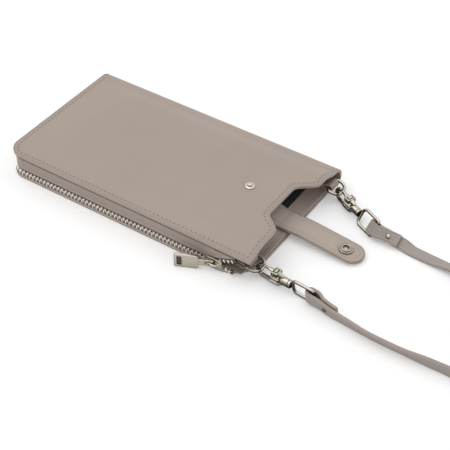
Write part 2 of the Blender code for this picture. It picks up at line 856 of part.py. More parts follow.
def hook_frame(side):
    """The hook's own frame: X from its nose along its axis, Y up, so that its loop stands upright."""
    heading = math.radians(hook_headings[side])
    bow = ring_length * (1.0 - ring_bow_share)
    x, y = bow_point(math.atan(ring_half_width / bow * math.tan(heading)))
    contact = Vector((ring_bar_places[side] + x * math.cos(ring_drop), side * keeper_place + y,
                      ring_bar_height - x * math.sin(ring_drop)))
    to_ring = hook_wire_radius + seam + ring_wire_radius
    roll = math.radians(abs(eye_rolls[side]))
    eye_height = eye_half_width * math.sin(roll) + eye_wire_radius + seam / 3
    rise = (eye_height - contact.z) / (hook_length - to_ring)
    axis = Vector((math.cos(heading), math.sin(heading), rise)).normalized()
    across = axis.cross(Vector((0.0, 0.0, 1.0))).normalized()
    frame = Matrix((axis, across.cross(axis), across)).transposed().to_4x4()
    frame.translation = contact - axis * to_ring
    return frame


def hook_route():
    """Centre line of the cast hook: upper stub, closed end, lower rail and nose, as far as the gate's tip."""
    half = hook_half_width
    points = [(gate_pin_place + ear_radius, half)]
    points += [(blend(hook_rail_end, hook_shoulder_end, share), blend(half, hook_shoulder_width, share))
               for share in (0.75, 1.0)]
    points += [(hook_shoulder_end, -hook_shoulder_width), (hook_rail_end, -half)]
    points += arc((half, 0.0), half, -90, -270, 10)
    points += [(gate_tip - hook_wire_radius, half)]
    return points


def hook_body(side_name, frame):
    name = side_name + "_hook_body"
    body = wire(name, [(x, y, 0.0) for x, y in hook_route()], hook_wire_radius, None)
    body.matrix_world = frame
    body = as_mesh(body)
    body.data.materials.clear()
    body.data.materials.append(finishes["nickel"])
    pieces = []
    barrel_reach = barrel_length + hook_wire_radius / 2
    barrel = turned(side_name + "_barrel", disc_profile(barrel_radius, 0.0, barrel_reach), None, 20, cutters)
    barrel_start = Vector((hook_shoulder_end - hook_wire_radius / 2, 0.0, 0.0))
    barrel.matrix_world = frame @ Matrix.Translation(barrel_start) @ Matrix.Rotation(math.radians(90), 4, "Y")
    pieces.append((barrel, "UNION"))
    gap = gate_radius + seam * 0.8
    ear_low = (gate_pin_place - ear_radius, hook_half_width - ear_radius, -gap - ear_thickness)
    ear_high = (gate_pin_place + ear_radius * 1.6, hook_half_width + ear_radius * 0.7, gap + ear_thickness)
    ears = box(side_name + "_ears", ear_low, ear_high, None, cutters)
    slot_low = (gate_pin_place - ear_radius - seam, hook_half_width - ear_radius - seam, -gap)
    slot_high = (gate_pin_place + gate_eye_radius + seam, hook_half_width + ear_radius, gap)
    slot = box(side_name + "_slot", slot_low, slot_high, None, cutters)
    for item in (ears, slot):
        item.matrix_world = frame
    pieces += [(ears, "UNION"), (slot, "DIFFERENCE")]
    bore_start = hook_shoulder_end - hook_wire_radius * 2
    bore = turned(side_name + "_bore", disc_profile(swivel_hole, 0.0, barrel_length * 2), None, 16, cutters)
    along_axis = Matrix.Rotation(math.radians(90), 4, "Y")
    bore.matrix_world = frame @ Matrix.Translation((bore_start, 0.0, 0.0)) @ along_axis
    pin_bore_profile = disc_profile(gate_pin_hole, -ear_radius * 3, ear_radius * 3)
    pin_bore = turned(side_name + "_pin_bore", pin_bore_profile, None, 16, cutters)
    pin_bore.matrix_world = frame @ Matrix.Translation((gate_pin_place, hook_half_width, 0.0))
    pieces += [(bore, "DIFFERENCE"), (pin_bore, "DIFFERENCE")]
    for other, operation in pieces:
        combine(body, other, operation)


def hook_gate(side_name, frame):
    """The sprung bar that closes the hook, with its eye on the gate pin."""
    pivot = Vector((gate_pin_place, hook_half_width, 0.0))
    reach = gate_pin_place - gate_tip - seam
    bar_start = -reach
    gate = turned(side_name + "_hook_gate", disc_profile(gate_radius, 0.0, reach), "nickel", 12)
    gate.matrix_world = frame @ Matrix.Translation(pivot + Vector((bar_start, 0.0, 0.0))) @ Matrix.Rotation(
        math.radians(90), 4, "Y")
    eye_profile = disc_profile(gate_eye_radius, -gate_radius, gate_radius)
    eye = turned(side_name + "_gate_eye", eye_profile, None, 16, cutters)
    bore_profile = disc_profile(gate_pin_hole, -gate_radius * 2, gate_radius * 2)
    bore = turned(side_name + "_gate_bore", bore_profile, None, 16, cutters)
    for item, operation in ((eye, "UNION"), (bore, "DIFFERENCE")):
        item.matrix_world = frame @ Matrix.Translation(pivot)
        combine(gate, item, operation)
    pin_profile = disc_profile(gate_pin_radius, -gate_pin_length / 2, gate_pin_length / 2)
    pin = turned(side_name + "_gate_pin", pin_profile, "nickel", 16)
    pin.matrix_world = frame @ Matrix.Translation(pivot)


def swivel(side_name, frame, roll):
    """The turned pin through the hook's barrel and the flat eye that it carries, turned to this roll."""
    head = hook_shoulder_end - hook_wire_radius - seam - swivel_head_length
    collar = hook_shoulder_end + barrel_length + seam
    collar_end = eye_start - eye_wire_radius - seam
    profile = [(0.0, collar_end), (swivel_collar_radius, collar_end), (swivel_collar_radius, collar)]
    profile += [(swivel_radius, collar), (swivel_radius, head + swivel_head_length)]
    profile += [(swivel_head_radius, head + swivel_head_length), (swivel_head_radius * 0.8, head), (0.0, head)]
    pin = turned(side_name + "_swivel_pin", profile, "nickel", 16)
    pin.matrix_world = frame @ Matrix.Rotation(math.radians(90), 4, "Y")
    half = eye_half_width
    points = []
    for end, sign, radius, first in (
        (hook_length, 1, eye_bar_corner_radius, 0),
        (eye_start, 1, eye_corner_radius, 90),
        (eye_start, -1, eye_corner_radius, 180),
        (hook_length, -1, eye_bar_corner_radius, 270),
    ):
        inward = -radius if end == hook_length else radius
        centre = (end + inward, sign * (half - radius))
        points += arc(centre, radius, first, first + 90, 3)
    route = [(x, 0.0, y) for x, y in points]
    eye = wire(side_name + "_swivel_eye", route, eye_wire_radius, "nickel", closed=True)
    eye.matrix_world = frame @ Matrix.Rotation(math.radians(roll), 4, "X")


# Strap

strap_loop = eye_wire_radius + seam + strap_thickness / 2


def spline(points, closeness):
    """Points of a smooth curve through these, about this far apart."""
    ends = [points[0] * 2 - points[1]] + points + [points[-1] * 2 - points[-2]]
    curve = []
    for before, first, last, after in zip(ends, ends[1:], ends[2:], ends[3:]):
        steps = max(1, round((last - first).length / closeness))
        for step in range(steps):
            t = step / steps
            curve.append((first * 2 + (last - before) * t + (before * 2 - first * 5 + last * 4 - after) * t**2
                          + (first * 3 - before - last * 3 + after) * t**3) / 2)
    return curve + [points[-1]]


# Plan of each stretch from the eye to the coil, chosen from the photograph and, past its edge, to meet
# the coil. The first point of each comes from its eye.
route_points = {
    -1: [(0.135, -0.0485), (0.142, -0.0494), (0.152, -0.0504), (0.168, -0.0521), (0.187, -0.0523), (0.204, -0.0515),
         (0.216, -0.05105), (0.240, -0.051), (0.262, -0.051)],
    1: [(0.1363, 0.0239), (0.1415, 0.0236), (0.1476, 0.0234), (0.1548, 0.0229), (0.168, 0.022), (0.1804, 0.0214),
        (0.1925, 0.0196), (0.2045, 0.0145), (0.2123, 0.0065), (0.2144, -0.0014)],
}

# Roll of each stretch about its own length, in degrees, against the distance from the eye
strap_rolls = {
    -1: [(0.0, -80.0), (0.012, -78.0), (0.023, -72.0), (0.039, -65.0), (0.058, -65.0), (0.078, -80.0), (0.1, -90.0)],
    1: [(0.0, 58.0), (0.006, 52.0), (0.016, 30.0), (0.026, 0.0), (0.038, -6.0), (0.052, -22.0), (0.08, -75.0),
        (0.1, -90.0)],
}


def at_distance(table, distance):
    """Value of a table of (distance, value) pairs, eased between its entries."""
    for (first, low), (last, high) in zip(table, table[1:]):
        if distance <= last:
            return blend(low, high, smooth((distance - first) / (last - first)))
    return table[-1][1]


def cross_axes(direction, roll):
    """The strap's width direction and the direction that its inner face looks in."""
    side = Vector((0.0, 0.0, 1.0)).cross(direction).normalized()
    turn = math.radians(roll)
    up = Vector((0.0, 0.0, 1.0))
    return side * math.cos(turn) + up * math.sin(turn), up * math.cos(turn) - side * math.sin(turn)


def strap_run(side, frame):
    """Stations along a stretch: distance, point at its middle, direction, width direction and face direction."""
    bar = frame @ Vector((hook_length, 0.0, 0.0))
    axis = frame.to_3x3() @ Vector((1.0, 0.0, 0.0))
    rolls = strap_rolls[side]
    start = bar - cross_axes(axis, rolls[0][1])[1] * strap_loop
    first = Vector((start.x, start.y, 0.0))
    heading = Vector((axis.x, axis.y, 0.0)).normalized()
    points = [first, first + heading * strap_thickness] + [Vector((*point, 0.0)) for point in route_points[side]]
    plan = spline(points, strap_thickness)
    stations = []
    distance = 0.0
    for index, point in enumerate(plan):
        before = plan[max(0, index - 1)]
        after = plan[min(len(plan) - 1, index + 1)]
        if index:
            distance += (point - before).length
        roll = at_distance(rolls, distance)
        turn = math.radians(abs(roll))
        resting = strap_width / 2 * math.sin(turn) + strap_thickness / 2 * math.cos(turn) + seam / 3
        height = blend(max(start.z, resting), resting, smooth(distance / fold_back_length))
        direction = (after - before).normalized()
        width, face = cross_axes(direction, roll)
        stations.append((distance, point + Vector((0.0, 0.0, height)), direction, width, face))
    return stations


def station_at(run, distance):
    for first, last in zip(run, run[1:]):
        if distance <= last[0]:
            share = max(0.0, (distance - first[0]) / (last[0] - first[0]))
            point, direction, width, face = (first[part].lerp(last[part], share) for part in range(1, 5))
            return distance, point, direction.normalized(), width.normalized(), face.normalized()
    return run[-1]


def strap_point(station, across, lift):
    """A point of the strap's cross-section: across its width, and lifted off its middle along its face."""
    return station[1] + station[3] * across + station[4] * lift


def strap_end(side_name, run):
    """The strap's end folded back round the eye's bar, with a rivet through both layers."""
    layer = strap_thickness + seam * 2
    shares = [1.0, 0.86, 0.74, 0.62, 0.51, 0.4, 0.3, 0.2, 0.1, 0.0]
    under = [(strap_end_length, 0.0)] + [(fold_back_length * share, 0.0) for share in shares]
    around = [(x, z + strap_loop) for x, z in arc((-fold_slack, 0.0), strap_loop, -90, -270, 8)]
    over = [(fold_back_length * share, blend(strap_loop * 2, layer, smooth((share - 0.1) / 0.35)))
            for share in reversed(shares)]

    def place(step, share):
        along, lift = step
        station = station_at(run, max(0.0, along))
        overhang = station[2] * min(0.0, along)
        return strap_point(station, strap_width * (share - 0.5), lift) + overhang

    end = sheet(side_name + "_strap_end", place, under + around + over, [0.0, 0.5, 1.0], strap_thickness,
                "strap_leather")
    station = station_at(run, rivet_place)
    middle = strap_point(station, 0.0, layer / 2)
    turn = Vector((0.0, 0.0, 1.0)).rotation_difference(station[4]).to_matrix().to_4x4()
    place_matrix = Matrix.Translation(middle) @ turn
    stack = strap_thickness + seam
    hole_profile = disc_profile(rivet_hole_radius, -stack * 2, stack * 2)
    hole = turned(side_name + "_rivet_hole", hole_profile, None, 12, cutters)
    hole.matrix_world = place_matrix
    combine(end, hole, "DIFFERENCE")
    top = stack + seam
    shank = rivet_hole_radius - seam
    profile = [(0.0, top + rivet_head), (rivet_radius * 0.7, top + rivet_head)]
    profile += [(rivet_radius, top + rivet_head * 0.4)]
    profile += [(rivet_radius, top), (shank, top), (shank, -top), (rivet_radius, -top)]
    profile += [(rivet_radius, -top - rivet_head * 0.5), (0.0, -top - rivet_head * 0.5)]
    rivet = turned(side_name + "_rivet", profile, "nickel", 16)
    rivet.matrix_world = place_matrix
    round_off(rivet)


def strap_stretch(name, run):
    first = strap_end_length + seam
    last = run[-1][0] - seam
    count = round((last - first) / strap_width * 2)
    distances = [blend(first, last, step / count) for step in range(count + 1)]

    def place(distance, share):
        return strap_point(station_at(run, distance), strap_width * (share - 0.5), 0.0)

    sheet(name, place, distances, [0.0, 1.0], strap_thickness, "strap_leather")


def coil_route():
    """The strap wound on its edge in two nested arms: in from the near side, round the middle and out."""
    step = 360 / loop_points
    near_turn = coil_near_turns * 360
    inner = near_turn - 90
    points = []
    count = round(near_turn / step)
    for index in range(count + 1):
        angle = -90 + near_turn * index / count
        radius = coil_inner_radius + coil_pitch * (inner - angle) / 360
        points.append(polar(radius, angle))
    half = coil_inner_radius / 2
    middle = polar(half, inner)
    for index in range(1, loop_points // 2):
        points.append(middle + polar(half, inner + index * step) - coil_centre)
    middle = polar(half, inner + 180)
    for index in range(loop_points // 2 + 1):
        points.append(middle + polar(half, inner - index * step) - coil_centre)
    far_turn = coil_far_turns * 360
    count = round(far_turn / step)
    for index in range(1, count + 1):
        angle = inner + 180 - far_turn * index / count
        radius = coil_inner_radius + coil_pitch * (inner + 180 - angle) / 360
        points.append(polar(radius, angle))
    return points


def polar(radius, degrees):
    turn = math.radians(degrees)
    return coil_centre + Vector((radius * math.cos(turn), radius * math.sin(turn), 0.0))


def strap_coil():
    points = coil_route()
    height = strap_width / 2 + seam / 3
    rise = Vector((0.0, 0.0, 1.0))

    def place(index, share):
        return points[index] + rise * (height + strap_width * (share - 0.5))

    sheet("strap_coil", place, list(range(len(points))), [0.0, 1.0], strap_thickness, "strap_leather")
    nearest = strap_width
    for index, point in enumerate(points):
        for other in points[index + 6:]:
            nearest = min(nearest, (point - other).length)
    length = sum((last - first).length for first, last in zip(points, points[1:]))
    print("coil: length", round(length, 4), "least gap to itself", round(nearest - strap_thickness, 5))


def build():
    clear_scene()
    make_finishes()
    outer_wrap()
    gusset()
    divider()
    front_lining()
    back_lining()
    card_pocket()
    tapes()
    teeth("zip_teeth_upper", tooth_pitch / 2, True)
    teeth("zip_teeth_lower", tooth_pitch, False)
    zip_stops()
    zip_pull(*slider())
    stud()
    closing_tab()
    for side_name, side in (("near", -1), ("far", 1)):
        keeper(side_name + "_keeper", side)
        ring(side_name + "_ring", side)
        frame = hook_frame(side)
        hook_body(side_name, frame)
        hook_gate(side_name, frame)
        swivel(side_name, frame, eye_rolls[side])
        run = strap_run(side, frame)
        strap_end(side_name, run)
        strap_stretch(side_name + "_strap", run)
    strap_coil()


build()
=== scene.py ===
"""Looks of a flat crossbody wallet: leather, zip, snap tab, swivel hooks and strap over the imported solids."""

import math

import bmesh
import bpy
from mathutils import Matrix, Vector


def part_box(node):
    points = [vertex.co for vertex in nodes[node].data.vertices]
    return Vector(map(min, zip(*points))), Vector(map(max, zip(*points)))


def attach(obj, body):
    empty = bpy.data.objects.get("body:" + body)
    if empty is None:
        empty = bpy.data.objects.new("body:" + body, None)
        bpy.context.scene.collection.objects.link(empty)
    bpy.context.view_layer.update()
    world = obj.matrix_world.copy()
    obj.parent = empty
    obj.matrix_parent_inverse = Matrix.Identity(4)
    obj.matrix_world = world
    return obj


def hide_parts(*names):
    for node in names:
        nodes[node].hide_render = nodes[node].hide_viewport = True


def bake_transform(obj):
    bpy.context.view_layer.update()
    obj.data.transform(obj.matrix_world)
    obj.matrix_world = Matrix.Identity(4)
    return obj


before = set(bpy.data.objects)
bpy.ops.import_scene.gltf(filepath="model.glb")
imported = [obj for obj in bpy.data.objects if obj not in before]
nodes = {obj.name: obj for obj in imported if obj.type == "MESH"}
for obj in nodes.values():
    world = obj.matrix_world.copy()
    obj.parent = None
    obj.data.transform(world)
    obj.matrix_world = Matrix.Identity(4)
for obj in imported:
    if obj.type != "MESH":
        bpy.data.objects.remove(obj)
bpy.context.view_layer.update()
up = Vector((0.0, 0.0, 1.0))

# Sizes of the solids, in metres, as in the part's source

wallet_length = 0.182
wallet_width = 0.106
zip_side_height = 0.018
fold_side_height = 0.016
crown_rise = 0.0036
leather = 0.0018
seam = 0.0003
strap_width = 0.0078
strap_thickness = 0.0019
zip_corner_radius = 0.011
fold_corner_radius = 0.0045
crown_zip_run = 0.016
crown_fold_run = 0.014
crown_end_run = 0.035
notch_depth = 0.0113
notch_half_width = 0.013
notch_shoulder = 0.013
mouth_end = 0.0905
lower_mouth_end = 0.088
lower_mouth_radius = 0.021
gusset_inset = 0.0012
gusset_thickness = 0.0013
gusset_flange = 0.009
gusset_foot_height = 0.0063
divider_thickness = 0.0016
divider_height = 0.0079
divider_inset = 0.0062
divider_fall_start = 0.064
divider_fall_end = 0.084
tape_thickness = 0.0005
tape_height = 0.0034
tape_flange = 0.009
tooth_height = 0.0021
tooth_overlap = 0.001
tooth_depth = 0.0017
zip_start = 0.0795
zip_closed_at = 0.063
zip_rise = 0.0075
zip_end_from_fold = 0.014
lower_curl = 0.001
slider_length = 0.011
slider_place = 0.066
slider_height = 0.0058
slider_plate = 0.0009
pull_length = 0.0235
pull_slot_length = 0.003
pull_slot_height = 0.0066
pull_bar_radius = 0.0005
pull_rest_degrees = 24.0
stud_place = 0.0564
stud_radius = 0.0031
stud_flange = 0.0006
stud_nipple_radius = 0.0016
stud_nipple_height = 0.0011
tab_width = 0.0164
tab_tip_margin = 0.012
tab_leather = 0.0014
tab_root_length = 0.0085
tab_fold_place = 0.0813
tab_rest_degrees = 6.0
closed_fold_place = 0.0825
socket_radius = 0.0045
socket_bore = 0.0021
socket_height = 0.0012
cap_radius = 0.0042
cap_thickness = 0.001
keeper_place = 0.042
keeper_width = 0.008
keeper_leather = 0.0012
keeper_length = 0.0125
ring_bar_places = {-1: 0.0845, 1: 0.09}
ring_bar_height = 0.0074
ring_half_width = 0.006
ring_length = 0.008
ring_bow_share = 0.35
ring_wire_radius = 0.001
hook_height = 0.0054
hook_wire_radius = 0.0013
hook_half_width = 0.0039
hook_length = 0.0395
hook_shoulder_end = 0.0178
gate_pin_place = 0.0128
gate_pin_radius = 0.0006
gate_pin_length = 0.0042
barrel_radius = 0.0026
barrel_length = 0.0042
swivel_radius = 0.001
swivel_head_radius = 0.0014
swivel_head_length = 0.0013
eye_start = 0.0252
eye_wire_radius = 0.001
eye_corner_radius = 0.003
eye_bar_corner_radius = 0.0012
hook_headings = {-1: -5.0, 1: -25.5}
eye_rolls = {-1: -80.0, 1: 58.0}
fold_back_length = 0.0162
fold_slack = 0.002
rivet_place = 0.0094
rivet_radius = 0.0015
rivet_head = 0.0007
coil_inner_radius = 0.038
coil_pitch = 0.008
coil_near_turns = 1.45
coil_far_turns = 1.2
loop_points = 24
coil_centre = Vector((0.262, -0.0014, 0.0))

# Sizes of the finer detail

edge_rounding = 0.0004
crease_inset = 0.0009
stitch_inset = 0.003
stitch_step = 0.003
stitch_length = 0.0023
thread_radius = 0.0003
hole_radius = 0.00032
fine_tooth_step = 0.0028
fine_tooth_width = 0.0012
fine_tooth_depth = 0.0019
fine_tooth_front = 0.00055
metal_rounding = 0.00025
cast_grain = 0.00016
fold_reach = 0.0016
nose_share = 0.7
fine_tooth_heights = {True: 0.0023, False: 0.0027}
contact_shade_height = 0.0007
hook_fullness = 0.6
hook_full_from = 0.0062
hook_full_run = 0.0035
lining_border = 0.0095
strap_stitch_place = 0.0135
weld_reach = seam / 100
wire_resolution = 5

# How deep the finishes' patterns go, and how far the painted shade of the metal's recesses reaches out of a
# recess

grain_depth = 0.00009
edge_depth = 0.00012
twist_depth = 0.00005
weave_depth = 0.00008
wipe_depth = 0.00002
recess_shade_reach = 0.0018
bright_recess_shade_reach = 0.0016
tooth_recess_shade_reach = 0.0005
recess_shade_colour = (0.07, 0.058, 0.045)

# Camera, floor and light

camera_azimuth = 33.71
camera_elevation = 42.96
camera_distance = 0.7261
camera_target = Vector((0.05079, -0.01857, 0.0))
camera_lens = 96
floor_size = 40.0
key_size = 1.6
key_place = Vector((-0.5, -0.25, 1.6))
fill_place = Vector((0.9, 0.9, 1.2))
key_power = 8.0
fill_power = 2.6
studio_level = 0.69
floor_colour = (0.92, 0.92, 0.92)
white = (1.0, 1.0, 1.0, 1.0)
floor_roughness = 0.9
floor_lift = 0.2


def smooth(value):
    share = min(1.0, max(0.0, value))
    return share * share * (3.0 - 2.0 * share)


def mix(first, last, share):
    return first + (last - first) * share


def ease(value, first, last):
    """0 before the first place, 1 after the last and smooth between."""
    return smooth((value - first) / (last - first))


def even(first, last, count):
    return [mix(first, last, step / count) for step in range(count + 1)]


def bunched(count, power):
    """Shares from 0 to 1, close together near both ends."""
    half = [0.5 * (step / count) ** power for step in range(count + 1)]
    return half + [1.0 - share for share in reversed(half[:-1])]


def linked(name, data):
    item = bpy.data.objects.new(name, data)
    bpy.context.scene.collection.objects.link(item)
    return item


# Camera


def make_camera():
    data = bpy.data.cameras.new("camera")
    data.lens = camera_lens
    camera = linked("camera", data)
    turn = math.radians(camera_azimuth)
    lift = math.radians(camera_elevation)
    back = Vector((math.sin(turn) * math.cos(lift), -math.cos(turn) * math.cos(lift), math.sin(lift)))
    camera.location = camera_target + back * camera_distance
    camera.rotation_euler = (-back).to_track_quat("-Z", "Y").to_euler()
    bpy.context.scene.camera = camera


# Finishes


class Value:
    """A socket of a finish, so that a sum written with it adds the finish's Math nodes."""

    def __init__(self, paint, socket):
        self.paint = paint
        self.socket = socket

    def math(self, operation, other):
        return self.paint.node("ShaderNodeMath", {"operation": operation}, {0: self, 1: other})

    def __add__(self, other):
        return self.math("ADD", other)

    def __sub__(self, other):
        return self.math("SUBTRACT", other)

    def __mul__(self, other):
        return self.math("MULTIPLY", other)


class Paint:
    """The nodes of a material or of the world, and the shader that they feed."""

    def __init__(self, owner, shader_name):
        owner.use_nodes = True
        self.tree = owner.node_tree
        self.shader = self.tree.nodes[shader_name]

    def connect(self, value, socket):
        if isinstance(value, Value):
            self.tree.links.new(value.socket, socket)
        else:
            socket.default_value = value

    def node(self, kind, settings=None, inputs=None, out=0):
        made = self.tree.nodes.new(kind)
        for name, value in (settings or {}).items():
            setattr(made, name, value)
        for name, value in (inputs or {}).items():
            self.connect(value, made.inputs[name])
        return Value(self, made.outputs[out])

    def feed(self, name, value):
        self.connect(value, self.shader.inputs[name])


class Finish(Paint):
    """A material, whose patterns read each point's place."""

    def __init__(self, name, colour, metallic=0.0):
        self.material = bpy.data.materials.new(name)
        self.material.diffuse_color = (*colour, 1.0)
        super().__init__(self.material, "Principled BSDF")
        self.place = self.node("ShaderNodeTexCoord", out="Object")
        self.feed("Metallic", metallic)

    def noise(self, scale, detail):
        inputs = {"Vector": self.place, "Scale": scale, "Detail": detail}
        return self.node("ShaderNodeTexNoise", None, inputs, "Fac")

    def wave(self, direction, scale, distortion=0.0):
        inputs = {"Vector": self.place, "Scale": scale, "Distortion": distortion}
        return self.node("ShaderNodeTexWave", {"bands_direction": direction}, inputs, "Fac")

    def height_of(self, vector):
        return self.node("ShaderNodeSeparateXYZ", None, {"Vector": vector}, "Z")

    def below(self, value, low, high):
        """1 under low, 0 over high."""
        inputs = {"Value": value, "From Min": high, "From Max": low}
        return self.node("ShaderNodeMapRange", {"interpolation_type": "SMOOTHSTEP"}, inputs, "Result")

    def near(self, value, middle, width):
        """1 where the value is at the middle, falling to 0 this far from it."""
        return self.below((value - middle).math("ABSOLUTE", 0.0), 0.0, width)

    def tint(self, share, first, last):
        return self.node("ShaderNodeMix", {"data_type": "RGBA"}, {0: share, 6: first, 7: last}, 2)

    def surface(self, colour, roughness, height, depth, strength):
        self.feed("Base Color", colour)
        self.feed("Roughness", roughness)
        inputs = {"Height": height, "Distance": depth, "Strength": strength}
        self.feed("Normal", self.node("ShaderNodeBump", None, inputs, "Normal"))
        return self.material


def shaded(colour, share):
    return tuple(part * share for part in colour[:3]) + (1.0,)


def leather_finish(name, colour, grain_scale, sheen):
    """Grained leather with a creased line and a lighter band beside its edges, by the piece's attribute rim."""
    paint = Finish(name, colour)
    cells = {"Vector": paint.place, "Scale": grain_scale}
    grain = paint.node("ShaderNodeTexVoronoi", None, cells, "Distance")
    fine = paint.noise(grain_scale * 3.0, 3.0)
    broad = paint.noise(26.0, 3.0)
    dents = paint.noise(38.0, 1.0)
    rim = paint.node("ShaderNodeAttribute", {"attribute_name": "rim"}, None, "Fac")
    crease = paint.near(rim, crease_inset, crease_inset * 0.35)
    stitched = paint.near(rim, stitch_inset, thread_radius * 3.5)
    # Lighter band between the edge and the crease line.
    lighter_rim = paint.below(rim, 0.0, crease_inset)
    base = paint.tint(broad, shaded(colour, 0.9), shaded(colour, 1.08))
    base = paint.tint(grain * 0.5, base, shaded(colour, 0.86))
    base = paint.tint(crease * 0.6 + stitched * 0.2, base, shaded(colour, 0.45))
    base = paint.tint(lighter_rim * 0.3, base, shaded(colour, 1.18))
    paint.feed("Coat Weight", sheen)
    paint.feed("Coat Roughness", 0.42)
    height = fine * 0.25 - grain * 0.5 - crease * 2.2 - stitched * 1.6 + dents * 14.0
    return paint.surface(base, fine * 0.16 + 0.44 - lighter_rim * 0.06, height, grain_depth, 0.7)


def edge_finish(name, colour, back_colour=None):
    """The painted cut edge of leather, uneven, and where it lies low, of the back panel's colour, with a
    painted contact shadow at its very foot.
    """
    paint = Finish(name, colour)
    uneven = paint.noise(420.0, 3.0)
    broad = paint.noise(60.0, 2.0)
    base = paint.tint(uneven * 0.6 + broad * 0.4, shaded(colour, 0.86), shaded(colour, 1.14))
    if back_colour:
        height = paint.height_of(paint.place)
        # Painted shadow: a dark band at the foot of the edge, where it meets the floor.
        contact_shade = paint.below(height, contact_shade_height * 0.6, contact_shade_height) * 0.85
        base = paint.tint(paint.below(height, leather, leather + seam), base, (*back_colour, 1.0))
        base = paint.tint(contact_shade, base, shaded(back_colour, 0.25))
    return paint.surface(base, uneven * 0.2 + 0.32, uneven, edge_depth, 0.5)


def thread_finish(name, colour):
    paint = Finish(name, colour)
    twist = paint.wave("DIAGONAL", 620.0, 1.0)
    base = paint.tint(twist, shaded(colour, 0.82), shaded(colour, 1.08))
    return paint.surface(base, twist * 0.2 + 0.5, twist, twist_depth, 0.6)


def cloth_finish(name, colour, thread_scale, contrast):
    """Plain weave: crossed sets of bands."""
    paint = Finish(name, colour)
    across, along, upright = (paint.wave(direction, thread_scale) for direction in ("X", "Y", "Z"))
    weave = across * 0.4 + along * 0.3 + upright * 0.3
    base = paint.tint(weave, shaded(colour, 1.0 - contrast), shaded(colour, 1.0 + contrast))
    base = paint.tint(paint.noise(90.0, 3.0) * 0.4, base, shaded(colour, 0.8))
    return paint.surface(base, weave * 0.15 + 0.75, weave, weave_depth, 0.8)


def metal_finish(name, colour, roughness, recess_shade_reach, recess_shade, underside_shade=0.0):
    """Polished plating, with fine wipe marks, painted shade in its recesses and, by choice, painted shade on
    its undersides.
    """
    paint = Finish(name, colour, metallic=1.0)
    wiped = paint.noise(700.0, 4.0)
    cloudy = paint.noise(160.0, 2.0)
    recess = paint.node("ShaderNodeAmbientOcclusion", {"samples": 6}, {"Distance": recess_shade_reach}, "AO")
    base = paint.tint(cloudy, shaded(colour, 0.92), shaded(colour, 1.04))
    # Painted shade: faces that look sideways or down are darkened by how they face.
    if underside_shade:
        facing = paint.height_of(paint.node("ShaderNodeTexCoord", out="Normal"))
        base = paint.tint(paint.below(facing, 0.1, 0.95) * underside_shade, base, shaded(colour, 0.1))
    # Painted shade: recesses are darkened towards near-black, standing in for the dark reflections of the
    # polished metal.
    base = paint.tint(paint.below(recess, 0.35, 0.95) * recess_shade, base, (*recess_shade_colour, 1.0))
    return paint.surface(base, wiped * 0.12 + cloudy * 0.08 + roughness - 0.08, wiped, wipe_depth, 0.35)


taupe = (0.405, 0.335, 0.287)
finishes = {
    "panel": leather_finish("taupe_panel_leather", taupe, 1500.0, 0.06),
    "tab": leather_finish("taupe_tab_leather", (0.47, 0.395, 0.335), 1700.0, 0.05),
    "strap": leather_finish("taupe_strap_leather", (0.405, 0.358, 0.325), 1900.0, 0.08),
    "edge": edge_finish("painted_edge", (0.36, 0.29, 0.25)),
    "panel_edge": edge_finish("painted_panel_edge", shaded(taupe, 0.97)[:3], (0.47, 0.40, 0.35)),
    "thread": thread_finish("taupe_thread", (0.55, 0.465, 0.40)),
    # Painted shade: dark spheres stand in for the shade in the needle holes.
    "needle_hole_shade": edge_finish("needle_hole_shade", (0.20, 0.155, 0.13)),
    "lining": cloth_finish("black_lining", (0.012, 0.011, 0.0105), 700.0, 0.35),
    "tape": cloth_finish("taupe_zip_tape", (0.40, 0.33, 0.285), 800.0, 0.12),
    # Painted shade: a darker copy of the zip tape, for the upper tape, so that the gaps between the teeth read
    # as shadowed.
    "shaded_tape": cloth_finish("shaded_zip_tape", (0.20, 0.16, 0.132), 800.0, 0.12),
    "nickel": metal_finish("warm_nickel", (0.56, 0.51, 0.43), 0.17, recess_shade_reach, 0.95, 0.95),
    "bright": metal_finish("bright_nickel", (0.64, 0.59, 0.50), 0.16, bright_recess_shade_reach, 0.9, 0.12),
    "tooth": metal_finish("tooth_nickel", (1.0, 0.96, 0.88), 0.4, tooth_recess_shade_reach, 0.35),
    # Painted shadow: near-black leather for the shadowed bend under the panel's edge and the back of the pull's
    # slot.
    "painted_shadow": edge_finish("painted_shadow_dark", (0.07, 0.046, 0.033)),
}


# Making pieces


def add_piece(name, mesh, finish_names, body, replaced=()):
    item = linked(name, mesh)
    for index, finish_name in enumerate(finish_names):
        if index == len(mesh.materials):
            mesh.materials.append(None)
        mesh.materials[index] = finishes[finish_name]
    if body:
        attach(item, body)
    if replaced:
        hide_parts(*replaced)
    return item


def add_metal(node, mesh, body="wallet", finish_name="nickel", ending="_piece"):
    """A metal piece that stands for one node and is named after it."""
    return add_piece(node + ending, mesh, [finish_name], body, [node])


def add_leather(name, mesh, node, *more_finishes):
    add_piece(name, mesh, ["panel", *more_finishes], "wallet", [node])


def mesh_of(bm, name="shape"):
    mesh = bpy.data.meshes.new(name)
    bm.to_mesh(mesh)
    bm.free()
    return mesh


def evaluated(item):
    """An object's mesh after its modifiers. The object itself goes."""
    bpy.context.view_layer.update()
    graph = bpy.context.evaluated_depsgraph_get()
    final = item.evaluated_get(graph)
    mesh = bpy.data.meshes.new_from_object(final, preserve_all_data_layers=True, depsgraph=graph)
    bpy.data.objects.remove(item)
    return mesh


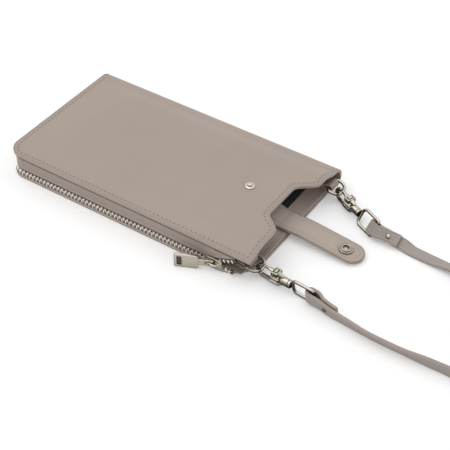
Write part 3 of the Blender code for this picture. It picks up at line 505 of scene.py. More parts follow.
def shaped(bm, steps, smooth_degrees=None):
    """The finished mesh of a bmesh after these modifiers."""
    mesh = mesh_of(bm)
    mesh.shade_smooth()
    if smooth_degrees:
        mesh.set_sharp_from_angle(angle=math.radians(smooth_degrees))
    item = linked("shape", mesh)
    if any(kind == "SOLIDIFY" for kind, _ in steps):
        mesh.materials.append(None)
        mesh.materials.append(None)
    for kind, settings in steps:
        step = item.modifiers.new(kind.lower(), kind)
        for name, value in settings.items():
            setattr(step, name, value)
    return evaluated(item)


def wall(thickness):
    settings = {"thickness": thickness, "offset": 0.0, "use_even_offset": True, "material_offset_rim": 1}
    return ("SOLIDIFY", settings)


def rounded(width, segments=3, degrees=40):
    settings = {"width": width, "segments": segments, "limit_method": "ANGLE", "harden_normals": True}
    return ("BEVEL", {**settings, "angle_limit": math.radians(degrees), "use_clamp_overlap": True})


def grid(place, along, across, near_edge=None):
    """The surface that place() gives, with near_edge() as its attribute rim."""
    bm = bmesh.new()
    rim = bm.verts.layers.float.new("rim") if near_edge else None
    bmesh.ops.create_grid(bm, x_segments=len(along) - 1, y_segments=len(across) - 1, size=1)
    for vertex in bm.verts:
        column = round((vertex.co.x + 1) / 2 * (len(along) - 1))
        row = round((vertex.co.y + 1) / 2 * (len(across) - 1))
        vertex.co = place(along[column], across[row])
        if near_edge:
            vertex[rim] = near_edge(along[column], across[row])
    return bm


def sheet_mesh(place, along, across, thickness, rounding=edge_rounding, near_edge=None):
    """A leather or cloth sheet about the surface that place() gives."""
    return shaped(grid(place, along, across, near_edge), [wall(thickness), rounded(rounding)])


def mark_rim(mesh, distance):
    """Writes each point's distance from the nearest finished edge, which the leather reads."""
    marks = mesh.attributes.new("rim", "FLOAT", "POINT")
    marks.data.foreach_set("value", [distance(vertex.co) for vertex in mesh.vertices])
    return mesh


def wire_mesh(points, radius):
    """A closed ring of round wire."""
    curve = bpy.data.curves.new("wire", "CURVE")
    curve.dimensions = "3D"
    curve.bevel_depth = radius
    curve.bevel_resolution = wire_resolution
    spline = curve.splines.new("POLY")
    spline.points.add(len(points) - 1)
    for point, place in zip(spline.points, points):
        point.co = (*place, 1.0)
    spline.use_cyclic_u = True
    bm = bmesh.new()
    bm.from_mesh(evaluated(linked("wire", curve)))
    bmesh.ops.remove_doubles(bm, verts=bm.verts, dist=weld_reach)
    return shaped(bm, [], 50)


def turned_mesh(profile, place, steps=48, rounding=metal_rounding / 2):
    """A piece turned about its own Z from (radius, height) points down its outside, set in its place."""
    bm = bmesh.new()
    corners = [bm.verts.new((radius, 0.0, height)) for radius, height in profile]
    edges = [bm.edges.new(pair) for pair in zip(corners, corners[1:])]
    bmesh.ops.spin(bm, geom=corners + edges, cent=(0, 0, 0), axis=(0, 0, 1), angle=math.tau, steps=steps,
                   use_merge=True)
    bmesh.ops.remove_doubles(bm, verts=bm.verts, dist=weld_reach)
    bmesh.ops.recalc_face_normals(bm, faces=bm.faces)
    bmesh.ops.transform(bm, matrix=place, verts=bm.verts)
    return shaped(bm, [rounded(rounding, 2, 35)], 60)


def bevel(bm, edges, width, segments):
    bmesh.ops.bevel(bm, geom=edges, offset=width, segments=segments, profile=0.5, affect="EDGES", material=-1)


def block(size, middle):
    bm = bmesh.new()
    bmesh.ops.create_cube(bm, size=1)
    bmesh.ops.scale(bm, vec=size, verts=bm.verts)
    bmesh.ops.translate(bm, vec=middle, verts=bm.verts)
    return bm


def block_mesh(low, high):
    return shaped(block(high - low, (high + low) / 2), [rounded(metal_rounding)])


def cast_mesh(node, grain, rounds):
    """A casting's softened form of a solid."""
    bm = bmesh.new()
    bm.from_mesh(nodes[node].data)
    bmesh.ops.remove_doubles(bm, verts=bm.verts, dist=weld_reach)
    remesh = ("REMESH", {"mode": "VOXEL", "voxel_size": grain, "adaptivity": 0.0})
    return shaped(bm, [remesh, ("SMOOTH", {"factor": 0.5, "iterations": rounds})])


def arc(centre, radius, first_degrees, last_degrees, steps):
    turns = [math.radians(mix(first_degrees, last_degrees, step / steps)) for step in range(steps + 1)]
    return [(centre[0] + radius * math.cos(turn), centre[1] + radius * math.sin(turn)) for turn in turns]


def stitch_mesh(spots, radius=thread_radius, length=stitch_length, holes=True):
    """A row of stitches from (point, direction, normal) spots, with a dark sphere after each as the needle
    hole's painted shade.
    """
    bm = bmesh.new()
    for point, direction, normal in spots:
        across = normal.cross(direction).normalized()
        turn = Matrix((direction, across, normal)).transposed().to_4x4()
        size = Matrix.Diagonal((length / 2, radius, radius, 1.0))
        place = Matrix.Translation(point + normal * radius * 0.25) @ turn @ size
        bmesh.ops.create_uvsphere(bm, u_segments=8, v_segments=5, radius=1, matrix=place)
    thread_faces = len(bm.faces)
    for point, direction, normal in spots if holes else ():
        place = Matrix.Translation(point + direction * stitch_step / 2)
        bmesh.ops.create_icosphere(bm, subdivisions=1, radius=hole_radius, matrix=place)
    bm.faces.ensure_lookup_table()
    for face in bm.faces[thread_faces:]:
        face.material_index = 1
    return shaped(bm, [])


def spots_along(points, normal_at):
    """Evenly spaced stitch places on a line of points."""
    spots = []
    travelled = stitch_step / 2
    for first, last in zip(points, points[1:]):
        run = last - first
        while travelled <= run.length:
            place = first + run.normalized() * travelled
            normal = normal_at(place)
            along = run - normal * run.dot(normal)
            spots.append((place, along.normalized(), normal))
            travelled += stitch_step
        travelled -= run.length
    return spots


# The wallet's outline and heights, as in the part's source

half_length = wallet_length / 2
half_width = wallet_width / 2
fold_radius = fold_side_height / 2
fold_centre = half_width - fold_radius
eye_half_width = strap_width / 2 + seam + eye_wire_radius
strap_loop = eye_wire_radius + seam + strap_thickness / 2
ring_drop = math.asin((ring_bar_height - hook_height) / ring_length)
corner_x = zip_corner_radius - half_length
corner_y = zip_corner_radius - half_width
straight_length = mouth_end - corner_x
tape_inset = gusset_inset + gusset_thickness + seam + tape_thickness / 2
row_inset = gusset_inset - tooth_depth / 2 + gusset_thickness
lower_row_height = leather + seam + tooth_height / 2
upper_row_height = lower_row_height + tooth_height - tooth_overlap


def base_height(y):
    share = (y + half_width) / (fold_centre + half_width)
    return mix(zip_side_height, fold_side_height, min(1.0, share))


def front_height(x, y):
    """Height of the front panel's outer face."""
    across = smooth((y + half_width) / crown_zip_run) * smooth((fold_centre - y) / crown_fold_run)
    along = smooth((x + half_length) / crown_end_run)
    return base_height(y) + crown_rise * across * along


def front_mouth(y):
    """Edge of the front panel at the mouth, with its scooped notch."""
    return mouth_end - notch_depth * (1.0 - smooth((abs(y) - notch_half_width) / notch_shoulder))


def mouth_slope(y):
    step = crease_inset
    return (front_mouth(y + step) - front_mouth(y - step)) / (step * 2)


def lower_mouth(y):
    """Edge of the back panel and the divider at the mouth."""
    run = lower_mouth_radius - (y + half_width)
    if run <= 0.0:
        return lower_mouth_end
    return lower_mouth_end - lower_mouth_radius + math.sqrt(lower_mouth_radius**2 - run**2)


def closed_end(y, inset):
    """The wallet's closed end at y, moved in by an inset, round its two corners."""
    zip_radius = zip_corner_radius - inset
    run = zip_radius - (y + half_width - inset)
    if run > 0.0:
        return corner_x - math.sqrt(max(0.0, zip_radius**2 - run**2))
    run = fold_corner_radius - (half_width - y)
    if run > 0.0 and inset < fold_corner_radius:
        return fold_corner_radius - half_length - math.sqrt(fold_corner_radius**2 - run**2) + inset
    return inset - half_length


def divider_middle(x):
    mouth_height = leather + seam + tape_thickness + seam
    height = mix(divider_height, mouth_height, ease(x, divider_fall_start, divider_fall_end))
    return height + divider_thickness / 2


def divider_top(x):
    return divider_middle(x) + divider_thickness / 2


def divider_far_edge(x):
    reach = abs(divider_middle(x) - fold_radius) + divider_thickness / 2
    inner = fold_radius - leather - seam * 2
    return fold_centre + math.sqrt(max(0.0, inner**2 - reach**2)) - seam


def zip_side(distance, inset):
    """A point on the zip side's path, this far round from the mouth end, and the way in from the edge."""
    radius = zip_corner_radius - inset
    corner = radius * math.pi / 2
    if distance <= straight_length:
        return Vector((mouth_end - distance, inset - half_width, 0.0)), Vector((0.0, 1.0, 0.0))
    if distance <= straight_length + corner:
        turn = (distance - straight_length) / radius
        inward = Vector((math.sin(turn), math.cos(turn), 0.0))
        return Vector((corner_x, corner_y, 0.0)) - inward * radius, inward
    y = corner_y + distance - straight_length - corner
    return Vector((inset - half_length, y, 0.0)), Vector((1.0, 0.0, 0.0))


def zip_side_length(inset):
    return straight_length + (zip_corner_radius - inset) * math.pi / 2 + fold_centre - corner_y


def zip_opening(x):
    """How far the upper row has come up from the lower one at x, in front of the slider."""
    share = min(1.0, max(0.0, (x - zip_closed_at) / (zip_start - zip_closed_at)))
    return zip_rise * share


def lower_row_curl(x):
    """How far the open end of the lower row lies outward over the back panel's edge."""
    return lower_curl * ease(x, slider_place + slider_length / 2, zip_start)


def row_point(distance, inset, upper):
    """A point of a row's centre line, with the way in from the edge there."""
    point, inward = zip_side(distance, inset)
    if upper:
        return point + up * (upper_row_height + zip_opening(point.x)), inward
    return point - inward * lower_row_curl(point.x) + up * lower_row_height, inward


# The camera comes first, then the strap

make_camera()


def bow_point(turn):
    start = ring_length * ring_bow_share
    return start + (ring_length - start) * math.cos(turn), ring_half_width * math.sin(turn)


def ring_points():
    """Centre line of a D-ring, straight bar at x = 0."""
    corner = ring_wire_radius * 1.5
    points = arc((corner, corner - ring_half_width), corner, 180, 270, 3)
    points += [bow_point(math.radians(turn)) for turn in range(-90, 91, 18)]
    points += arc((corner, ring_half_width - corner), corner, 90, 180, 3)
    return points


def hook_frame(side):
    """The hook's own frame: X from its nose along its axis, and Y up."""
    heading = math.radians(hook_headings[side])
    bow = ring_length * (1.0 - ring_bow_share)
    x, y = bow_point(math.atan(ring_half_width / bow * math.tan(heading)))
    contact = Vector((ring_bar_places[side] + x * math.cos(ring_drop), side * keeper_place + y,
                      ring_bar_height - x * math.sin(ring_drop)))
    to_ring = hook_wire_radius + seam + ring_wire_radius
    roll = math.radians(abs(eye_rolls[side]))
    eye_height = eye_half_width * math.sin(roll) + eye_wire_radius + seam / 3
    rise = (eye_height - contact.z) / (hook_length - to_ring)
    axis = Vector((math.cos(heading), math.sin(heading), rise)).normalized()
    across = axis.cross(up).normalized()
    hook = Matrix((axis, across.cross(axis), across)).transposed().to_4x4()
    hook.translation = contact - axis * to_ring
    return hook


def spline(points, closeness):
    """Points of a smooth curve through these, about this far apart."""
    ends = [points[0] * 2 - points[1]] + points + [points[-1] * 2 - points[-2]]
    curve = []
    for before, first, last, after in zip(ends, ends[1:], ends[2:], ends[3:]):
        steps = max(1, round((last - first).length / closeness))
        for step in range(steps):
            t = step / steps
            curve.append((first * 2 + (last - before) * t + (before * 2 - first * 5 + last * 4 - after) * t**2
                          + (first * 3 - before - last * 3 + after) * t**3) / 2)
    return curve + [points[-1]]


# Plan of each stretch from the eye to the coil
route_points = {
    -1: [(0.135, -0.0485), (0.142, -0.0494), (0.152, -0.0504), (0.168, -0.0521), (0.187, -0.0523),
         (0.204, -0.0515), (0.216, -0.05105), (0.240, -0.051), (0.262, -0.051)],
    1: [(0.1363, 0.0239), (0.1415, 0.0236), (0.1476, 0.0234), (0.1548, 0.0229), (0.168, 0.022),
        (0.1804, 0.0214), (0.1925, 0.0196), (0.2045, 0.0145), (0.2123, 0.0065), (0.2144, -0.0014)],
}

# Roll of each stretch about its own length, in degrees, against the distance from the eye
strap_rolls = {
    -1: [(0.0, -80.0), (0.012, -78.0), (0.023, -72.0), (0.039, -65.0), (0.058, -65.0), (0.078, -80.0),
         (0.1, -90.0)],
    1: [(0.0, 58.0), (0.006, 52.0), (0.016, 30.0), (0.026, 0.0), (0.038, -6.0), (0.052, -22.0),
        (0.08, -75.0), (0.1, -90.0)],
}


def at_distance(table, distance):
    """Value of a table of (distance, value) pairs, eased between its entries."""
    for (first, low), (last, high) in zip(table, table[1:]):
        if distance <= last:
            return mix(low, high, ease(distance, first, last))
    return table[-1][1]


def cross_axes(direction, roll):
    """The strap's width direction and the direction that its inner face looks in."""
    side = up.cross(direction).normalized()
    turn = math.radians(roll)
    return side * math.cos(turn) + up * math.sin(turn), up * math.cos(turn) - side * math.sin(turn)


def strap_run(side):
    """Stations along a stretch: distance, middle, and the directions of its run, width and face."""
    bar = hooks[side] @ Vector((hook_length, 0.0, 0.0))
    axis = hooks[side].to_3x3() @ Vector((1.0, 0.0, 0.0))
    rolls = strap_rolls[side]
    start = bar - cross_axes(axis, rolls[0][1])[1] * strap_loop
    first = Vector((start.x, start.y, 0.0))
    heading = Vector((axis.x, axis.y, 0.0)).normalized()
    points = [first, first + heading * strap_thickness]
    points += [Vector((*point, 0.0)) for point in route_points[side]]
    plan = spline(points, strap_thickness)
    stations = []
    distance = 0.0
    for index, point in enumerate(plan):
        before = plan[max(0, index - 1)]
        after = plan[min(len(plan) - 1, index + 1)]
        if index:
            distance += (point - before).length
        roll = at_distance(rolls, distance)
        turn = math.radians(abs(roll))
        resting = strap_width / 2 * math.sin(turn) + strap_thickness / 2 * math.cos(turn) + seam / 3
        height = mix(max(start.z, resting), resting, smooth(distance / fold_back_length))
        direction = (after - before).normalized()
        width, face = cross_axes(direction, roll)
        stations.append((distance, point + up * height, direction, width, face))
    return stations


def station_at(run, distance):
    for first, last in zip(run, run[1:]):
        if distance <= last[0]:
            share = max(0.0, (distance - first[0]) / (last[0] - first[0]))
            point, direction, width, face = (first[part].lerp(last[part], share) for part in range(1, 5))
            return distance, point, direction.normalized(), width.normalized(), face.normalized()
    return run[-1]


def strap_point(station, across, lift):
    """A point of the strap's cross-section: across its width, and lifted off its middle along its face."""
    return station[1] + station[3] * across + station[4] * lift


def coil_route():
    """The strap wound on its edge in two nested arms: in from the near side, round the middle and out."""
    step = 360 / loop_points
    near_turn = coil_near_turns * 360
    inner = near_turn - 90
    points = []
    count = round(near_turn / step)
    for index in range(count + 1):
        angle = -90 + near_turn * index / count
        radius = coil_inner_radius + coil_pitch * (inner - angle) / 360
        points.append(polar(radius, angle))
    half = coil_inner_radius / 2
    middle = polar(half, inner)
    for index in range(1, loop_points // 2):
        points.append(middle + polar(half, inner + index * step) - coil_centre)
    middle = polar(half, inner + 180)
    for index in range(loop_points // 2 + 1):
        points.append(middle + polar(half, inner - index * step) - coil_centre)
    far_turn = coil_far_turns * 360
    count = round(far_turn / step)
    for index in range(1, count + 1):
        angle = inner + 180 - far_turn * index / count
        radius = coil_inner_radius + coil_pitch * (inner + 180 - angle) / 360
        points.append(polar(radius, angle))
    return points


def polar(radius, degrees):
    turn = math.radians(degrees)
    return coil_centre + Vector((radius * math.cos(turn), radius * math.sin(turn), 0.0))


hooks = {side: hook_frame(side) for side in (-1, 1)}
runs = {side: strap_run(side) for side in (-1, 1)}
layer = strap_thickness + seam * 2


def strap_lane(side):
    """Stations of one stretch from its folded-back tip, round the eye's bar and on to the coil."""
    run = runs[side]
    lane = []
    for share in reversed(even(0.0, 1.0, 24)):
        lane.append((fold_back_length * share, mix(strap_loop * 2, layer, smooth((share - 0.1) / 0.35))))
    around = [(x, z + strap_loop) for x, z in arc((-fold_slack, 0.0), strap_loop, -90, -270, 20)]
    lane += reversed(around)
    lane += [(distance, 0.0) for distance in even(0.0, run[-1][0], round(run[-1][0] / strap_thickness))[1:]]
    stations = []
    for along, lift in lane:
        distance, point, direction, width, face = station_at(run, max(0.0, along))
        stations.append((point + direction * min(0.0, along) + face * lift, width))
    return stations


def strap():
    coil_height = up * (strap_width / 2 + seam / 3)
    wound = spline([point + coil_height for point in coil_route()], strap_thickness)
    loops = [(point, -up) for point in wound[1:-1]]
    stations = strap_lane(-1) + loops + list(reversed(strap_lane(1)))

    def place(index, share):
        point, width = stations[index]
        return point + width * (strap_width * share)

    def near_edge(index, share):
        return strap_width * (0.5 - abs(share))

    across = [-0.5, -0.44, -0.36, -0.2, 0.0, 0.2, 0.36, 0.44, 0.5]
    mesh = sheet_mesh(place, range(len(stations)), across, strap_thickness, edge_rounding, near_edge)
    item = add_piece("strap", mesh, ["strap", "edge"], "wallet",
                     ["near_strap", "far_strap", "near_strap_end", "far_strap_end", "strap_coil"])
    ends = {side: run[0][1] - run[0][2] * fold_slack for side, run in runs.items()}
    path = [ends[-1]] + [station[1] for station in runs[-1]] + wound[1:-1]
    path += [station[1] for station in reversed(runs[1])] + [ends[1]]
    return item, path


def rivet(side_name, side):
    """A rivet through both layers of the strap's end."""
    station = station_at(runs[side], rivet_place)
    middle = strap_point(station, 0.0, layer / 2)
    turn = up.rotation_difference(station[4]).to_matrix().to_4x4()
    top = layer
    shank = rivet_radius / 2
    profile = [(0.0, top + rivet_head), (rivet_radius * 0.55, top + rivet_head * 0.94)]
    profile += [(rivet_radius * 0.85, top + rivet_head * 0.66), (rivet_radius, top + rivet_head * 0.2)]
    profile += [(rivet_radius, top), (shank, top), (shank, -top), (rivet_radius, -top)]
    profile += [(rivet_radius * 0.8, -top - rivet_head * 0.4), (0.0, -top - rivet_head * 0.5)]
    return add_metal(side_name + "_rivet", turned_mesh(profile, Matrix.Translation(middle) @ turn))


def strap_stitches(side_name, side):
    """A bar of stitches across both layers, beyond the rivet, on both outer faces."""
    station = station_at(runs[side], strap_stitch_place)
    spots = []
    for lift, sign in ((strap_thickness * 1.5 + seam * 2, 1), (-strap_thickness / 2, -1)):
        for share in (-0.3, -0.1, 0.1, 0.3):
            spots.append((strap_point(station, strap_width * share, lift), station[3], station[4] * sign))
    mesh = stitch_mesh(spots, thread_radius, strap_width * 0.16, False)
    return add_piece(side_name + "_strap_stitches", mesh, ["thread"], "wallet")


strap_piece, strap_path = strap()
sides = (("near", -1), ("far", 1))
on_strap = []
for side_name, side in sides:
    on_strap += [rivet(side_name, side), strap_stitches(side_name, side)]
tuple(strap_path[0])
[tuple(point) for point in strap_path]


# Leather walls


def edge_distance(point):
    """How far a point of the outer leather is from its nearest finished edge."""
    mouth = front_mouth(point.y) if point.z > fold_radius else lower_mouth(point.y)
    if point.y > fold_centre:
        mouth = mix(lower_mouth_end, mouth_end, smooth((point.z / fold_radius - 1.0) / 0.7 + 1.0))
    to_mouth = mouth - point.x
    if point.z > fold_radius:
        slope = mouth_slope(point.y)
        to_mouth /= math.sqrt(1.0 + slope * slope)
    to_zip = point.y + half_width
    to_end = point.x + half_length
    if to_zip < zip_corner_radius and to_end < zip_corner_radius:
        away = Vector((zip_corner_radius - to_end, zip_corner_radius - to_zip)).length
        return min(to_mouth, max(0.0, zip_corner_radius - away))
    return max(0.0, min(to_mouth, to_zip, to_end))


def outer_wrap():
    """One piece of leather: front panel, fold and back panel."""
    turns = [math.pi / 2 * step / 12 for step in range(12)]
    corner = [zip_corner_radius * (1.0 - math.cos(turn)) - half_width for turn in turns]
    stations = [("front", y) for y in corner + even(corner_y, fold_centre, 70)[:-1]]
    stations += [("fold", degrees) for degrees in even(90, -90, 28)]
    stations += [("back", y) for y in even(fold_centre, corner_y, 36)[1:] + list(reversed(corner))]
    middle_radius = fold_radius - leather / 2

    def place(share, station):
        kind, value = station
        if kind == "front":
            x = mix(closed_end(value, 0.0), front_mouth(value), share)
            return Vector((x, value, front_height(x, value) - leather / 2))
        if kind == "back":
            x = mix(closed_end(value, 0.0), lower_mouth(value), share)
            return Vector((x, value, leather / 2))
        turn = math.radians(value)
        y = fold_centre + middle_radius * math.cos(turn)
        z = fold_radius + middle_radius * math.sin(turn)
        mouth = mix(lower_mouth_end, mouth_end, smooth((value + 90) / 45))
        return Vector((mix(closed_end(y, 0.0), mouth, share), y, z))

    mesh = mark_rim(sheet_mesh(place, bunched(24, 2.2), stations, leather), edge_distance)
    add_leather("outer_leather", mesh, "outer_wrap", "panel_edge")


def front_normal(point):
    step = crease_inset
    rise_x = (front_height(point.x + step, point.y) - front_height(point.x - step, point.y)) / (step * 2)
    rise_y = (front_height(point.x, point.y + step) - front_height(point.x, point.y - step)) / (step * 2)
    return Vector((-rise_x, -rise_y, 1.0)).normalized()


def add_stitches(name, line, normal_at):
    mesh = stitch_mesh(spots_along(line, normal_at))
    add_piece(name, mesh, ["thread", "needle_hole_shade"], "wallet")


def seam_route(inset, end):
    """The seam's line round the closed end, the zip corner and the zip side, in plan."""
    route = [(inset - half_length, y) for y in even(fold_centre, corner_y, 60)]
    route += arc((corner_x, corner_y), zip_corner_radius - inset, 180, 270, 16)[1:]
    return route + [(x, inset - half_width) for x in even(corner_x, end, 120)[1:]]


def panel_stitches():
    """The seam round the front panel: closed end, zip side and scooped mouth."""
    route = seam_route(stitch_inset, mouth_end - stitch_inset)
    for y in even(stitch_inset - half_width, fold_centre, 200)[1:]:
        inward = Vector((-1.0, mouth_slope(y))).normalized() * stitch_inset
        route.append((front_mouth(y) + inward.x, y + inward.y))
    add_stitches("panel_stitches", [Vector((x, y, front_height(x, y))) for x, y in route], front_normal)


def back_stitches():
    route = seam_route(stitch_inset, lower_mouth_end - lower_mouth_radius)
    add_stitches("back_stitches", [Vector((x, y, thread_radius)) for x, y in route], lambda place: -up)


def side_places(inset, first, last, step):
    """Distances round the zip side, closer together in its corner."""
    corner_end = straight_length + (zip_corner_radius - inset) * math.pi / 2
    run = zip_side_length(inset) - corner_end
    places = even(0.0, straight_length, round(straight_length / step))
    places += even(straight_length, corner_end, 20)[1:]
    places += even(corner_end, corner_end + run, round(run / step))[1:]
    return [first] + [place for place in places if first + step / 2 < place < last - step / 2] + [last]


def gusset():
    """The wall under the front panel's edge, turned in along its top as a flange for the stitches."""
    middle = gusset_inset + gusset_thickness / 2
    bend = gusset_thickness * 0.8
    profile = [("wall", share) for share in even(0.0, 1.0, 12)[:-1] + [0.985, 1.0]]
    profile += [("bend", degrees) for degrees in (22, 45, 68, 90)]
    profile += [("flange", share) for share in (0.5, 1.0)]

    def top_height(y):
        return base_height(y) - leather - seam - gusset_thickness / 2

    def place(distance, part):
        kind, value = part
        point, inward = zip_side(distance, middle)
        top = top_height(point.y)
        foot = min(gusset_foot_height + zip_opening(point.x), top - gusset_thickness * 1.5)
        if kind == "wall":
            return point + up * mix(foot, top - bend, value)
        if kind == "bend":
            turn = math.radians(value)
            reach = bend * (1.0 - math.cos(turn))
            return point + inward * reach + up * (top - bend * (1.0 - math.sin(turn)))
        reach = min(mix(bend, gusset_flange - middle, value), zip_corner_radius - middle - seam)
        return point + inward * reach + up * top

    def near_edge(distance, part):
        return max(place(distance, part).z - place(distance, profile[0]).z, crease_inset * 2)

    stations = side_places(middle, mouth_end - zip_start, zip_side_length(middle), leather)
    mesh = sheet_mesh(place, stations, profile, gusset_thickness, edge_rounding, near_edge)
    # Painted shadow: faces of the top bend take the near-black finish as the shadow line under the front
    # panel's overhang.
    for face in mesh.polygons:
        if face.center.z > top_height(face.center.y) - bend * 1.35:
            face.material_index = 2
    add_leather("gusset_leather", mesh, "gusset", "edge", "painted_shadow")


def divider():
    places = even(divider_inset - half_width, corner_y, 8) + even(corner_y, fold_centre, 50)[1:]

    def place(share, y):
        x = mix(closed_end(y, divider_inset), lower_mouth(y), share)
        if y == fold_centre:
            y = divider_far_edge(x)
        return Vector((x, y, divider_middle(x)))

    mesh = sheet_mesh(place, bunched(20, 2.0), places, divider_thickness)
    mark_rim(mesh, lambda point: max(0.0, lower_mouth(point.y) - point.x))
    for face in mesh.polygons:
        if face.normal.z > 0.5 and face.center.x < lower_mouth_end - lining_border:
            face.material_index = 2
    add_leather("divider_leather", mesh, "divider", "edge", "lining")


# Zip


def tapes():
    start = mouth_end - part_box("zip_tape_upper")[1][0]
    stations = side_places(tape_inset, start, zip_side_length(tape_inset), leather)

    def upper(distance, share):
        point, inward = zip_side(distance, tape_inset)
        low = upper_row_height + zip_opening(point.x)
        under_flange = base_height(point.y) - leather - gusset_thickness - seam * 3
        outward = (tape_inset - row_inset) * (1.0 - smooth(share * 3.0))
        return point - inward * outward + up * mix(low, min(low + tape_height, under_flange), share)

    def lower(distance, part):
        point, inward = zip_side(distance, tape_inset)
        if part == "edge":
            return point - inward * lower_row_curl(point.x) + up * lower_row_height
        reach = 0.0 if part == "bend" else min(tape_flange, zip_corner_radius - tape_inset - seam)
        return point + inward * reach + up * (leather + seam + tape_thickness / 2)

    strips = (("upper", upper, even(0.0, 1.0, 12), "shaded_tape"),
              ("lower", lower, ["edge", "bend", "flange"], "tape"))
    for name, place, parts, finish_name in strips:
        mesh = sheet_mesh(place, stations, parts, tape_thickness, tape_thickness / 4)
        add_piece(name + "_tape", mesh, [finish_name] * 2, "wallet", ["zip_tape_" + name])


def tooth_mesh(height):
    """One cast tooth: a block with a narrower rounded nose."""
    bm = block(Vector((fine_tooth_width, fine_tooth_depth, height)), up * ((tooth_height - height) / 2))
    for vertex in bm.verts:
        if vertex.co.z > 0.0:
            vertex.co.x *= nose_share
            vertex.co.y *= (1.0 + nose_share) / 2
    bevel(bm, bm.edges, fine_tooth_width * 0.2, 2)
    return mesh_of(bm, "tooth")


def teeth(name, upper):
    """One row of cast teeth, each turned to its place round the corner."""
    tooth = tooth_mesh(fine_tooth_heights[upper])
    outward = row_inset - fine_tooth_depth / 2 - fine_tooth_front
    bm = bmesh.new()
    sign = -1.0 if upper else 1.0
    start = mouth_end - zip_start + (fine_tooth_step / 2 if upper else fine_tooth_step)
    run = zip_side_length(row_inset) - zip_end_from_fold - start
    for index in range(int(run / fine_tooth_step)):
        distance = start + fine_tooth_step * index
        point, inward = row_point(distance, row_inset, upper)
        ahead, _ = row_point(distance + seam, row_inset, upper)
        along = (ahead - point).normalized()
        tip = along.cross(up * sign).cross(along).normalized()
        turn = Matrix((along, tip.cross(along), tip)).transposed().to_4x4()
        known = len(bm.verts)
        bm.from_mesh(tooth)
        bm.verts.ensure_lookup_table()
        place = Matrix.Translation(point - inward * outward) @ turn
        bmesh.ops.transform(bm, matrix=place, verts=bm.verts[known:])
    add_metal(name, shaped(bm, [], 40), finish_name="tooth")


def fuller(mesh, hook):
    """A hook's piece, wider across its loop past the ring's reach and short of the barrel."""
    into = hook.inverted()
    for vertex in mesh.vertices:
        point = into @ vertex.co
        share = smooth((point.x - hook_full_from) / hook_full_run)
        share *= 1.0 - smooth((point.x - hook_shoulder_end + hook_full_run) / hook_full_run)
        point.z *= 1.0 + hook_fullness * share
        vertex.co = hook @ point
    return mesh


def castings():
    """The cast metal pieces, softened from their solids."""
    coarse = (cast_grain, 5)
    fine = (cast_grain * 0.75, 3)
    add_metal("zip_slider", cast_mesh("zip_slider", *coarse), "zip_slider", "bright", "_casting")
    add_metal("zip_pull", cast_mesh("zip_pull", *fine), "zip_pull", "bright", "_casting")
    for part, body, settings in (("_hook_body", "_hook", coarse), ("_hook_gate", "_gate", fine)):
        for side_name, side in sides:
            mesh = fuller(cast_mesh(side_name + part, *settings), hooks[side])
            add_metal(side_name + part, mesh, side_name + body, ending="_casting")
    for node in ("zip_top_stop_upper", "zip_top_stop_lower", "zip_bottom_stop"):
        low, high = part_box(node)
        add_metal(node, block_mesh(Vector(low), Vector(high)))


def pull_inset():
    """A dark plate set in the pull's slot: painted shade, so that the slot reads dark."""
    outer_y = row_inset - tooth_depth / 2 - seam - half_width
    middle_z = leather + seam + slider_height / 2
    pivot = Vector((slider_place, outer_y - slider_plate - seam - pull_bar_radius, middle_z))
    middle = Vector((pull_length - pull_bar_radius - pull_slot_length * 1.1, 0.0, 0.0))
    size = Vector((pull_slot_length + seam, pull_bar_radius, pull_slot_height + seam))
    mesh = block_mesh(middle - size / 2, middle + size / 2)
    mesh.transform(Matrix.Translation(pivot) @ Matrix.Rotation(math.radians(180 + pull_rest_degrees), 4, "Z"))
    add_piece("zip_pull_inset", mesh, ["painted_shadow"], "zip_pull")


# Stud, closing tab and snap

panel_top = front_height(stud_place, 0.0)
tab_fold_height = divider_top(tab_fold_place) + seam * 2 + tab_leather
closed_height = panel_top + seam * 3 + stud_flange + socket_height
riser_length = math.hypot(closed_fold_place - tab_fold_place, closed_height - tab_fold_height)
flap_reach = closed_fold_place - stud_place
flap_fold_place = tab_fold_place + riser_length


def flap_frame():
    turn = Matrix.Rotation(math.radians(tab_rest_degrees), 4, "Y")
    return Matrix.Translation((flap_fold_place, 0.0, tab_fold_height)) @ turn


def stud():
    low = seam
    top = low + stud_flange + stud_nipple_height
    foot = -leather - seam * 0.5
    nipple = stud_nipple_radius
    profile = [(0.0, top), (nipple * 0.6, top), (nipple * 0.9, top - stud_nipple_height * 0.12)]
    profile += [(nipple, top - stud_nipple_height * 0.35), (nipple * 0.86, low + stud_flange * 1.1)]
    profile += [(nipple * 1.1, low + stud_flange), (stud_radius * 0.82, low + stud_flange * 0.9)]
    profile += [(stud_radius, low + stud_flange * 0.4), (stud_radius, low)]
    profile += [(stud_radius * 0.4, low), (stud_radius * 0.4, foot), (0.0, foot)]
    place = Matrix.Translation((stud_place, 0.0, panel_top))
    add_metal("stud", turned_mesh(profile, place), finish_name="bright")


def snap():
    place = flap_frame() @ Matrix.Translation((flap_reach, 0.0, 0.0))
    top = seam + socket_height
    ring_shares = ((0.62, 0.0), (0.68, 0.2), (0.7, 0.6), (0.8, 0.6), (0.86, 0.3), (0.96, 0.35), (1.0, 0.7))
    lip = (socket_bore, top - socket_height * 0.2)
    socket = [lip, (socket_bore * 1.1, top)]
    socket += [(socket_radius * out, top - socket_height * down) for out, down in ring_shares]
    socket += [(socket_radius, seam), (socket_bore, seam), lip]
    add_metal("snap_socket", turned_mesh(socket, place), "tab_flap")
    low = -tab_leather - seam
    cap = [(0.0, seam * 0.8), (socket_bore * 0.5, seam * 0.8), (socket_bore * 0.5, low)]
    rim_shares = ((0.9, 0.0), (1.0, 0.4), (0.85, 0.8), (0.5, 1.0), (0.0, 1.0))
    cap += [(cap_radius * out, low - cap_thickness * down) for out, down in rim_shares]
    add_metal("snap_cap", turned_mesh(cap, place), "tab_flap", "bright")


